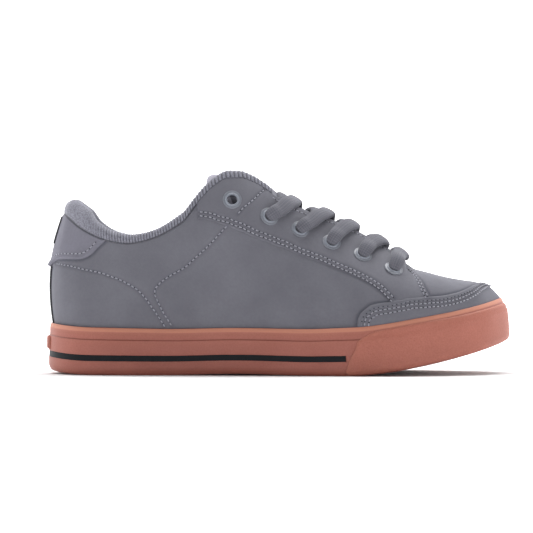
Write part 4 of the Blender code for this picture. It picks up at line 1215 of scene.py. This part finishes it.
RIB_PITCH = 0.0018
RIB_HEIGHT = 0.00052
RIB_SLANT = 0.0016
ROLL_PROUD = 0.0004
FINE_PITCH = 0.0012
FINE_HEIGHT = 0.00014
# The roll's section from the lining's top over the edge and down outside: shares of its height and
# its thickness, then where these knots and those of the lining lie along the section
ROLL_SECTION = ((-0.06, -0.03), (0.16, -0.11), (0.45, -0.13), (0.76, -0.03), (0.98, 0.30),
                (0.93, 0.70), (0.50, 1.0))
ROLL_PLACES = (0, 0.09, 0.20, 0.33, 0.46, 0.56, 0.68, 0.78, 0.90, 1.0)


def collar_value(name, station):
    return curve(COLLAR["station"], COLLAR[name], np.abs(station))


def make_collar_roll():
    """Foam under rib knit: a roll over the upper's edge and a lining down inside the heel."""
    stations = np.linspace(-COLLAR_END - 0.004, COLLAR_END + 0.004, 1050)
    edge = top_edge(stations)
    run = length_along(edge)
    stations = np.interp(np.linspace(0, run[-1], len(stations)), run, stations)
    run = np.linspace(0, run[-1], len(stations))
    top = upper_face(stations, 1.0)
    out = upper_normal(stations, 0.97)
    up = unit(top - upper_face(stations, 0.96))
    roll = (COLLAR_ROLL * collar_value("roll", stations))[:, None]
    thick = (COLLAR_THICKNESS * collar_value("thickness", stations))[:, None]
    depth = COLLAR_DEPTH * collar_value("depth", stations)
    length = wall_length(stations)
    knots = [top + up * roll * h - out * thick * t + out * ROLL_PROUD for h, t in ROLL_SECTION]
    for down, share in LINING_SECTION:
        inside = np.maximum(thick[:, 0] * share, WALL + GAP + PAD_SKIN)
        knots.append(upper_point(stations, 1 - depth * down / length, -inside))
    knots = np.stack(knots, 1)
    shares = np.linspace(0, 1, 42)
    grid = np.stack([curve_points(np.array(ROLL_PLACES), row, shares) for row in knots])
    outward = unit(np.cross(np.gradient(grid, axis=0), np.gradient(grid, axis=1)))
    coarse = smooth_step(0.17, 0.27, np.abs(stations))[:, None]
    slant = RIB_SLANT * shares * np.sign(stations)[:, None]
    # the ribs spread and stand higher towards the collar's front
    wider = 1 + 0.4 * smooth_step(0.33, 0.40, np.abs(stations))
    ribs = np.cumsum(np.gradient(run) / wider)[:, None] + slant
    rib = np.abs(np.sin(np.pi * ribs / RIB_PITCH)) ** 0.7
    fine = np.abs(np.sin(np.pi * (run[:, None] + slant) / FINE_PITCH)) ** 0.7
    fine = fine * (0.6 + 0.4 * np.abs(np.sin(shares * 60)))
    held = (smooth_step(0.0, 0.05, shares) * (1 - smooth_step(0.90, 1.0, shares)))[None, :]
    height = coarse * RIB_HEIGHT * wider[:, None] * (rib - 0.5)
    height = height + (1 - coarse) * FINE_HEIGHT * (fine - 0.5)
    outer = grid + outward * (height * held)[..., None]
    # painted shade down in the ribs, and a painted crease shade where the roll meets the upper's
    # edge
    painted_crease_shade = np.exp(-((shares - 0.02) / 0.035) ** 2)
    groove = np.maximum(coarse * (1 - rib) + (1 - coarse) * 0.45 * (1 - fine), painted_crease_shade)
    back = [upper_point(stations, 1 - depth * d / length, -WALL - GAP) for d in (1.0, 0.5, 0.1)]
    back += [top + up * GAP - out * WALL, top + up * GAP]
    rows = np.concatenate((outer, np.stack(back, 1)), 1)
    points, faces = tube(rows[::-1])
    # the hidden rows inside the roll get full painted shade
    marks = np.concatenate((groove, np.ones((len(stations), len(back)))), 1)[::-1]
    made = piece("collar_roll_knit", points, faces, (KNIT,), ("collar_padding",), None,
                 marks.ravel())


def tongue_grid(rows, points):
    """The tongue's upper face: rows from its lower end to its top, points from side to side."""
    knots = np.array((-1.0, -0.75, -0.5, 0.0, 0.5, 0.75, 1.0))
    coarse = []
    for station in TONGUE_STATIONS:
        wing = TONGUE_WING / float(wall_length(station))
        apart = 0.06 * float(smooth_step(0.60, 0.66, station))
        spots = np.sign(knots) * (0.5 + apart + wing * np.clip(2 * np.abs(knots) - 1, 0, 1))
        coarse.append(bridge_point(station, spots, -WALL - 5 * GAP))
    t = TONGUE_TOP
    for along_it, height, half, drop in zip(t["along"], t["height"], t["half_width"], t["drop"]):
        y = BALL_WIDTH * half * knots + TONGUE_SHIFT
        z = INSTEP_HEIGHT * height - BALL_WIDTH * drop * np.abs(knots) ** 2
        x = np.full(len(knots), SOLE_LENGTH * (along_it - 0.5)) + TONGUE_SWEEP * np.abs(knots) ** 3
        coarse.append(np.stack((x, y, z), -1))
    across = np.linspace(-1, 1, points)
    wide = np.stack([curve_points(knots, row, across) for row in coarse])
    run = length_along(wide[:, points // 2])
    at = np.linspace(0, run[-1], rows)
    return np.stack([curve_points(run, wide[:, j], at) for j in range(points)], 1), at


def make_tongue():
    """A padded tongue: nubuck below, with a soft light band of knit folded over its top."""
    rows, points = 140, 70
    face, run = tongue_grid(rows, points)
    out = unit(np.cross(np.gradient(face, axis=1), np.gradient(face, axis=0)))
    across = np.abs(np.linspace(-1, 1, points))[None, :]
    share = (run / run[-1])[:, None]
    plump = curve(TONGUE_PLUMP["along"], TONGUE_PLUMP["plump"], share)
    round_end = np.sqrt(np.clip(1 - np.clip((share - 0.965) / 0.035, 0, 1) ** 2, 0, 1))
    side = np.sqrt(np.clip(1 - across**6, 0, 1))
    thick = TONGUE_THICKNESS * plump * side * round_end
    swell = TONGUE_SWELL * smooth_step(0.62, 0.80, share) * (1 - across**2) * round_end
    seam = np.exp(-((across - 0.80) / 0.035) ** 2) * smooth_step(0.60, 0.66, share)
    band = np.exp(-((share - (1 - TONGUE_BAND)) / 0.006) ** 2)
    dent = TONGUE_DENT * np.maximum(seam, band)
    middle = face - out * (TONGUE_THICKNESS / 2 * plump)[..., None]
    outer = middle + out * (thick / 2 + swell - dent)[..., None]
    inner = middle - out * (thick / 2)[..., None]
    mesh_points, faces = closed_sheet(outer[::-1], inner[::-1])
    label = (np.arange(rows - 1) < int(rows * TONGUE_BAND)).astype(int)
    front = np.repeat(label, points - 1) * 2
    under = np.where(front > 0, 2, 1)
    which = np.concatenate((front, under, np.zeros(len(faces) - 2 * len(front))))
    # painted shade in the side seams and along the band's dent
    mark = np.concatenate((np.maximum(seam, band)[::-1].ravel(), np.zeros(rows * points)))
    made = piece("tongue_padded", mesh_points, faces, (NUBUCK, LINING, TONGUE_CLOTH),
                 ("tongue",), which, mark)


# An eyelet's flange and the bead on it, over the panel, and the bevel at its barrel's end
FLANGE_HEIGHT = 0.0003
BEAD_RADIUS = 0.0037
BEAD_HALF_WIDTH = 0.0006
BEAD_HEIGHT = 0.00075
BEVEL = 0.00012
EYELET_SIDES = 40


def make_eyelets():
    """Rolled rings with a raised bead, each with its barrel through the wall."""
    top = PANEL_HEIGHT
    bead = [(BEAD_RADIUS + BEAD_HALF_WIDTH * math.cos(a),
             top + FLANGE_HEIGHT + BEAD_HEIGHT * math.sin(a)) for a in np.linspace(0, math.pi, 9)]
    flange = [(EYELET_FLANGE - 0.0001, top - FLANGE_HEIGHT), (EYELET_FLANGE, top + 0.00005),
              (EYELET_FLANGE - 0.0003, top + 0.00028), (0.0048, top + FLANGE_HEIGHT)]
    end = -WALL - BARREL_DEPTH
    barrel = [(EYELET_HOLE, top - 0.0006), (EYELET_HOLE, end + BEVEL), (EYELET_HOLE + BEVEL, end),
              (EYELET_BARREL - BEVEL, end), (EYELET_BARREL, end + BEVEL),
              (EYELET_BARREL, top - FLANGE_HEIGHT)]
    radii, heights = np.array(flange + bead + barrel).T[..., None]
    # 1 where the bead's painted highlight is off: the flange and the barrel
    bead_highlight_off = np.array([1.0] * len(flange) + [0.5] + [0.0] * (len(bead) - 1) + [1.0] * len(barrel))
    angles = np.arange(EYELET_SIDES) / EYELET_SIDES * math.tau
    faces = grid_faces(EYELET_SIDES, len(radii), True, True)
    for (side, row), (place, along_it, up, out) in FRAMES.items():
        name = f"{'lateral' if side > 0 else 'medial'}_{row + 1}"
        ring = np.stack([
            place + (along_it * math.cos(a) + up * math.sin(a)) * radii + out * heights
            for a in angles
        ])
        piece(f"eyelet_ring_{name}", ring.reshape(-1, 3), faces, (ENAMEL,),
              (f"eyelet_{name}",), None, np.tile(bead_highlight_off, EYELET_SIDES))


# A laced strand from its eyelet over the throat and under the other side's edge: the share of the
# way to the row in front, the place across the throat, the middle's height, and half the width and
# half the thickness of the lace there
STRAND = table("forward across height width thick", (
    (0.28, 0.660, 0.0034, 0.00455, 0.00225),
    (0.55, 0.540, 0.0036, 0.00475, 0.00225),
    (0.72, 0.430, 0.0034, 0.00475, 0.00220),
    (0.79, 0.290, 0.0028, 0.00470, 0.00210),
    (0.85, 0.120, 0.0022, 0.00465, 0.00200),
    (0.87, -0.050, 0.0018, 0.00460, 0.00195),
    (0.89, -0.250, 0.0014, 0.00455, 0.00190),
    (0.91, -0.400, 0.0002, 0.00450, 0.00180),
    (0.93, -0.500, -0.0022, 0.00440, 0.00160),
    (0.94, -0.580, -0.0028, 0.00420, 0.00130),
))
# For each laced row: how far the strand reaches forward, as a share of the table's, and how much
# lower it lies over the throat
STRAND_REACH = (0.0, 0.66, 0.76, 1.0, 1.0)
STRAND_SAG = (0.0, 0.0002, 0.0010, 0.0014, 0.0026)
# The inner side's strand crosses further back, and lower where it passes under the outer side's
INNER_REACH = 0.62
UNDER = ((-0.50, 0.0), (-0.30, 0.0012), (0.0, 0.0024), (0.30, 0.0020), (0.50, 0.0002), (1.0, 0.0))
# The first bar from one edge of the throat to its middle, with half its width and its thickness
BAR = table("across height forward", (
    (0.66, 0.0036, 0.003),
    (0.54, 0.0038, 0.006),
    (0.40, 0.0034, 0.008),
    (0.22, 0.0027, 0.009),
    (0.00, 0.0024, 0.009),
))
BAR_SIZES = (0.0047, 0.0021)
# The way up through an eyelet: how far out and on over the panel a lace lies, how much its face
# turns out and on, and half its width and half its thickness
LACE_START = table("out on face_out face_on width thick", (
    (-0.0075, -0.0006, 0.00, -1.0, 0.0028, 0.0020),
    (-0.0020, -0.0004, 0.00, -1.0, 0.0030, 0.0021),
    (PANEL_HEIGHT + 0.0010, 0.0004, 0.25, -1.0, 0.0038, 0.0022),
    (PANEL_HEIGHT + 0.0028, 0.0034, 1.00, -0.5, 0.0044, 0.0023),
))
LACE_SAMPLES = 210
LACE_ROUND = 44
# A lace's girth, its squareness, and its plaits' pitch and how far they stand proud, as a share
LACE_GIRTH = 0.0210
LACE_SQUARE = 0.82
PLAIT_PITCH = 0.0021
PLAIT_PROUD = 0.045


def strand_start(side, row, towards):
    """The knots that bring a lace up through its eyelet, in the way of over_throat."""
    place, _, _, out = FRAMES[(side, row)]
    on = towards - place
    on = unit(on - out * (on @ out))
    s = {name: values[:, None] for name, values in LACE_START.items()}
    knots = place + out * s["out"] + on * s["on"]
    outs = unit(out * s["face_out"] + on * s["face_on"])
    return np.hstack((knots, outs, s["width"], s["thick"]))


def over_throat(at, across, height, width, thick):
    """The knots of a lace over the throat: each a place, the way out there, and its half sizes."""
    over = bridge_point(at, across, height)
    outs = unit(bridge_point(at, across, 0.001) - bridge(at, across))
    return np.column_stack((over, outs, np.broadcast_to(width, at.shape),
                            np.broadcast_to(thick, at.shape)))


def lace_body(name, knots, stands_for):
    """A braided lace along knots, soft-edged and flat, with its plaits standing proud."""
    run = length_along(knots[:, :3])
    at = np.linspace(0, run[-1], LACE_SAMPLES)
    middle = curve_points(run, knots[:, :3], at)
    out = unit(np.stack([curve(run, values, at) for values in knots[:, 3:6].T], -1))
    wide = curve(run, knots[:, 6], at)[:, None]
    thick = curve(run, knots[:, 7], at)[:, None]
    ahead = unit(np.gradient(middle, axis=0))
    side = unit(np.cross(ahead, out))
    out = np.cross(side, ahead)
    angle = np.arange(LACE_ROUND) / LACE_ROUND * math.tau
    c, s = np.cos(angle), np.sin(angle)
    along_run = length_along(middle)[:, None]
    girth = angle / math.tau * LACE_GIRTH
    plait = np.sin(math.tau * (along_run + girth) / PLAIT_PITCH)
    plait = plait * np.sin(math.tau * (along_run - girth) / PLAIT_PITCH)
    proud = 1 + PLAIT_PROUD * plait
    x = wide * np.sign(c) * np.abs(c) ** LACE_SQUARE * proud
    y = thick * np.sign(s) * np.abs(s) ** LACE_SQUARE * proud
    rows = middle[:, None] + side[:, None] * x[..., None] + out[:, None] * y[..., None]
    points, faces = tube(rows[:, ::-1])
    # painted shade between the plaits
    groove = np.clip(0.5 - 0.5 * plait, 0, 1)[:, ::-1] * 0.7
    flow = np.stack(np.broadcast_arrays(along_run, girth[::-1], 0.0), -1)
    piece(name, points, faces, (LACE,), stands_for, None, groove.ravel(),
          flow.reshape(-1, 3))


def make_laces():
    """A bar through the first eyelets, then two strands crossing over each row up to the fifth."""
    stations = EYELETS["station"]
    s = STRAND
    for row in range(1, LACED_ROWS):
        for side, word in ((1, "lateral"), (-1, "medial")):
            reach = STRAND_REACH[row] if side > 0 else INNER_REACH
            at = stations[row] + (stations[row - 1] - stations[row]) * s["forward"] * reach
            lower = STRAND_SAG[row] * smooth_step(-0.66, -0.35, -s["across"])
            if side < 0:
                lower = lower + np.interp(s["across"], *np.array(UNDER).T)
            over = over_throat(at, -side * s["across"], s["height"] - lower, s["width"], s["thick"])
            knots = np.concatenate((strand_start(side, row, over[0, :3]), over))
            lace_body(f"lace_{word}_{row + 1}", knots,
                      (f"lace_crossing_{row}",) if side > 0 else ())
    half = np.array(list(BAR.values()))
    across, height, forward = np.hstack((half * [[-1], [1], [1]], half[:, -2::-1]))
    over = over_throat(stations[0] + forward, across, height, *BAR_SIZES)
    first, last = strand_start(1, 0, over[0, :3]), strand_start(-1, 0, over[-1, :3])
    lace_body("lace_first_bar", np.concatenate((first, over, last[::-1])), ("lace_bar",))


# ======== The sole

# Shares of the side wall's height: where its rounded foot ends, where the step of the upper band
# lies, and where the chamfer starts
FOOT_TOP = 0.16
BAND_LOW, BAND_HIGH = 0.733, 0.752
CHAMFER_LOW = 0.90
# How far the black stripe stands out of the wall, and how far it reaches in past its slot
STRIPE_PROUD = 0.00022
STRIPE_BACK = 0.0002
# The herringbone in the tread: the width of its folds, how far they slant, its pitch and its depth
FOLD_WIDTH = 0.016
FOLD_SLANT = 0.007
HERRINGBONE_PITCH = 0.0062
HERRINGBONE_DEPTH = 0.0011
# The bumper's lowest edge, as a share of the wall, and how wide the edges of the trim are rounded
BUMPER_LOW = 0.03
BUMPER_EDGE = 0.0020
PLATE_EDGE = 0.0007


def wall_depth(height, station):
    """How far the side wall's face lies inside the outline at a share of its height."""
    under = 1 - np.clip(height / FOOT_TOP, 0, 1)
    edge = EDGE_ROUND * (1 - np.sqrt(np.clip(1 - under**2, 0, 1)))
    slot = smooth_step(0.291, 0.299, height) * (1 - smooth_step(0.415, 0.423, height))
    slot = slot * (1 - smooth_step(STRIPE_END, STRIPE_END + 0.004, np.abs(wrapped(station))))
    step = BAND_STEP * smooth_step(BAND_LOW, BAND_HIGH, height)
    chamfer = TOP_CHAMFER * np.clip((height - CHAMFER_LOW) / (1 - CHAMFER_LOW), 0, 1) ** 1.6
    return edge + STRIPE_DEPTH * slot + step + chamfer


def tread_depth(x, y, inside):
    """The tread's relief: bowed flex grooves, and a herringbone between them."""
    share = along(x)
    depth = np.zeros_like(x)
    bow = GROOVE_BOW * np.clip(1 - (y / (BALL_WIDTH * 0.45)) ** 2, 0, 1)
    for place in TREAD:
        off = np.abs(x - SOLE_LENGTH * (place - 0.5) - bow) / GROOVE_WIDTH
        depth = np.maximum(depth, GROOVE_DEPTH * (1 - smooth_step(0.32, 0.5, off)))
    fold = np.abs((y / FOLD_WIDTH) % 2 - 1)
    wave = np.abs(((x + FOLD_SLANT * fold) / HERRINGBONE_PITCH) % 1 - 0.5) * 2
    cut = 1 - smooth_step(0.22, 0.36, wave)
    waist = smooth_step(0.24, 0.27, share) * (1 - smooth_step(0.49, 0.52, share))
    depth = np.maximum(depth, HERRINGBONE_DEPTH * cut * (1 - waist))
    return depth * smooth_step(0.006, 0.0085, inside)


def make_sole():
    """The cupsole: a side wall with its bands, the tread, the rim and the cup."""
    columns = 640
    stations = np.linspace(0, 2, columns, endpoint=False)
    heights = np.unique(np.round(np.concatenate((
        FOOT_TOP * (1 - np.cos(np.linspace(0, np.pi / 2, 9))), np.linspace(FOOT_TOP, 0.288, 5),
        np.linspace(0.289, 0.301, 5), np.linspace(0.31, 0.405, 3), np.linspace(0.413, 0.425, 5),
        np.linspace(0.45, 0.72, 7), np.linspace(0.731, 0.754, 6), np.linspace(0.78, 0.90, 4),
        np.linspace(0.915, 1.0, 7))), 5))
    rings = [side_point(stations, h, wall_depth(h, stations)) for h in heights]
    last = BAND_STEP + TOP_CHAMFER
    rings.append(side_point(stations, 1.0, last + 0.0004) + (0, 0, 0.00005))
    rings.append(side_point(stations, 1.0, RIM_WIDTH))
    floor = rings[-1].copy()
    floor[:, 2] = cup_floor(floor[:, 0])
    rings.append(floor)
    points = np.concatenate(rings)
    faces = [tuple(f) for f in grid_faces(len(rings), columns, False, True)[:, ::-1]]
    top = (len(rings) - 1) * columns
    half = columns // 2
    for i in range(half):
        j = i + 1
        corners = (top + i, top + j, top + -j % columns, top + -i % columns)
        faces.append(tuple(dict.fromkeys(corners)))
    wall_faces = len(faces)
    # the tread spans from the outer side's lowest ring to the inner one's
    tread, inside = across_ring(rings[0], 128)
    cut = tread_depth(tread[..., 0], tread[..., 1], inside)
    tread[..., 2] = ground_line(tread[..., 0]) + cut
    start = len(points)
    points = np.concatenate((points, tread.reshape(-1, 3)))
    faces += [tuple(f) for f in grid_faces(*cut.shape, start=start)]
    which = np.concatenate((np.zeros(wall_faces), np.ones(len(faces) - wall_faces)))
    # painted shade at the band's step and painted highlight on the top chamfer, ring by ring;
    # painted shade in the tread's cuts
    dark = np.zeros(len(points))
    for number, height in enumerate(heights):
        shade = 0.8 * math.exp(-((height - 0.745) / 0.010) ** 2)
        shade = shade - float(smooth_step(0.89, 0.93, height))
        dark[number * columns:(number + 1) * columns] = shade
    dark[start:] = np.clip(cut / GROOVE_DEPTH, 0, 1).ravel()
    made = piece("cupsole_rubber", points, faces, (GUM, TREAD_GUM), ("outsole",), which,
                 dark)
    weld = made.modifiers.new("tread_edge", "WELD")
    weld.merge_threshold = 0.00002


def wall_face(stations, heights, off):
    """Points at a distance off the side wall."""
    return side_point(stations, heights, wall_depth(heights, np.ones_like(stations)) - off)


def trim(name, stations, heights, height, finish_of, slot, stands_for, soft, foot=True):
    """A plate on the side wall with rounded edges; without a foot, its lower edge stays full."""
    face = wall_face(stations, heights, 0.0)
    borders = [face[-1], face[:, -1], face[0]] + [face[:, 0]] * foot
    edge = edge_rise(face, borders, soft)
    outer = wall_face(stations, heights, height * edge - 0.0001)
    points, faces = closed_sheet(outer, wall_face(stations, heights, -PANEL_UNDER))
    # painted highlight over the rounded edges
    groove = np.concatenate(((1 - edge).ravel() * -0.6, np.zeros(edge.size)))
    piece(name, points, faces, (finish_of,), stands_for, None, groove)


def make_sole_trim():
    """The toe bumper, the black stripe and the plate at the heel."""
    line = smooth_line(np.stack(list(BUMPER.values()), -1), 280)
    line[:, 0] = np.maximum.accumulate(line[:, 0])
    side, tops = round_toe(line).T[..., None]
    up = crowded(26)
    low = np.minimum(BUMPER_LOW, tops * 0.4)
    heights = low + (tops - low) * up
    trim("toe_bumper_rubber", side + 0 * up, heights, GAP + BUMPER_THICKNESS, GRAINED_GUM, "gum",
         ("toe_bumper",), BUMPER_EDGE, False)
    stations = np.linspace(-STRIPE_END - 0.001, STRIPE_END + 0.001, 560)
    grid, up = np.meshgrid(stations, STRIPE_LOW + (STRIPE_HIGH - STRIPE_LOW) * crowded(7),
                           indexing="ij")
    inner = side_point(grid, up, STRIPE_DEPTH + STRIPE_BACK)
    points, faces = closed_sheet(side_point(grid, up, STRIPE_PROUD), inner)
    piece("foxing_stripe", points, faces, (BLACK_RUBBER,), ("sidewall_stripe",))
    trim("heel_plate_rubber", *plate_grid(HEEL_PLATE, 60, 24), GAP + PLATE_THICKNESS, GUM, "gum",
         ("heel_plate",), PLATE_EDGE)


# How high the footbed's edge is dished up, and how far in
DISH_HEIGHT = 0.0022
DISH_WIDTH = 0.007


def make_footbed():
    """The footbed, dished up at its edge, under brushed sock cloth."""
    stations = np.linspace(0, 2, 220, endpoint=False)
    rim = side_point(stations, 1.0, wall_inset() + WALL + 2 * GAP)
    top, inside = across_ring(rim, 44)
    low = top.copy()
    low[..., 2] = cup_floor(top[..., 0]) + GAP
    top[..., 2] = low[..., 2] + INSOLE_THICKNESS + DISH_HEIGHT * np.exp(-inside / DISH_WIDTH)
    points, faces = closed_sheet(top[:, ::-1], low[:, ::-1])
    piece("footbed_cloth", points, faces, (SOCK_CLOTH,), ("insole",))


# ======== Floor, light and camera

# The camera looks level at the outer side, over the same span as the photograph
IMAGE_SPAN = 533 * 0.0006207
CAMERA_PLACE = (-0.0075, -1.70, 0.066)
SENSOR_WIDTH = 36.0
FLOOR_GLOW = 1.03
WORLD_GLOW = 0.235
FLOOR_DROP = 0.0001
BACKDROP_START, BACKDROP_RADIUS, BACKDROP_TOP = 1.6, 1.2, 5.0
FLOOR_REACH = 14.0
# The softboxes: a place, the point each one faces, its size and its power
SOFTBOXES = {
    "overhead_softbox": ((0.05, 0.45, 1.6), (0, 0, 0.05), (1.8, 0.7), 40),
    "front_softbox": ((-0.1, -1.7, 0.30), (0, 0, 0.03), (1.6, 0.4), 1.4),
    "toe_softbox": ((1.5, -0.5, 0.7), (0.05, 0, 0.05), (1.0, 0.8), 4),
    "heel_softbox": ((-1.5, -0.3, 0.7), (-0.05, 0, 0.06), (1.0, 0.8), 6),
}


def make_floor():
    """A plain pale floor that curves up into a backdrop, and rises a little far in front."""
    bend = np.linspace(0, math.pi / 2, 24)[1:]
    side = [(-FLOOR_REACH, 1.3), (1 - FLOOR_REACH, -FLOOR_DROP), (BACKDROP_START, -FLOOR_DROP)]
    side += [(BACKDROP_START + BACKDROP_RADIUS * math.sin(a), BACKDROP_RADIUS * (1 - math.cos(a)))
             for a in bend]
    side.append((BACKDROP_START + BACKDROP_RADIUS, BACKDROP_TOP))
    points = [(x, y, z) for y, z in side for x in (-FLOOR_REACH, FLOOR_REACH)]
    mesh = bpy.data.meshes.new("studio_floor")
    mesh.from_pydata(points, [], grid_faces(len(side), 2)[:, ::-1].tolist())
    mesh.shade_smooth()
    made, tree, shader = finish("matt_white_paper", Roughness=0.9, Specular_IOR_Level=0.1)
    shader.inputs["Base Color"].default_value = colour("#ececed")
    shader.inputs["Emission Color"].default_value = colour("#ffffff")
    # the paper shows its shadows near the shoe, and fades to clean white further off
    where = add_node(tree, "ShaderNodeTexCoord").outputs["Object"]
    off = add_node(tree, "ShaderNodeVectorMath", {0: where}, operation="LENGTH")
    glow = add_node(tree, "ShaderNodeMapRange", {
        "Value": off.outputs["Value"], "From Min": 0.15, "From Max": 0.45, "To Max": FLOOR_GLOW})
    tree.links.new(glow.outputs["Result"], shader.inputs["Emission Strength"])
    mesh.materials.append(made)
    floor = bpy.data.objects.new("studio_floor", mesh)
    bpy.context.scene.collection.objects.link(floor)


def make_light(name, place, target, size, power):
    """A square soft light that faces a point."""
    data = bpy.data.lights.new(name, "AREA")
    data.shape = "RECTANGLE"
    data.size, data.size_y = size
    data.energy = power
    made = bpy.data.objects.new(name, data)
    made.location = place
    made.rotation_euler = (Vector(target) - Vector(place)).to_track_quat("-Z", "Y").to_euler()
    bpy.context.scene.collection.objects.link(made)


def make_camera():
    data = bpy.data.cameras.new("camera")
    data.sensor_width = SENSOR_WIDTH
    data.lens = SENSOR_WIDTH * -CAMERA_PLACE[1] / IMAGE_SPAN
    made = bpy.data.objects.new("camera", data)
    made.location = CAMERA_PLACE
    made.rotation_euler = (math.radians(90), 0, 0)
    bpy.context.scene.collection.objects.link(made)
    bpy.context.scene.camera = made


bpy.context.scene.view_settings.view_transform = "Standard"
make_camera()
make_floor()
for name, (place, target, size, power) in SOFTBOXES.items():
    make_light(name, place, target, size, power)
world = bpy.data.worlds.new("studio_air")
world.use_nodes = True
air = world.node_tree.nodes["Background"].inputs
air["Color"].default_value = (1, 1, 1, 1)
air["Strength"].default_value = WORLD_GLOW
bpy.context.scene.world = world

make_upper_skin()
make_eyestay("lateral", 1)
make_eyestay("medial", -1)
make_toe_guard()
make_heel_tab()
make_stitches()
make_collar_roll()
make_tongue()
make_eyelets()
make_laces()
make_sole()
make_sole_trim()
make_footbed()
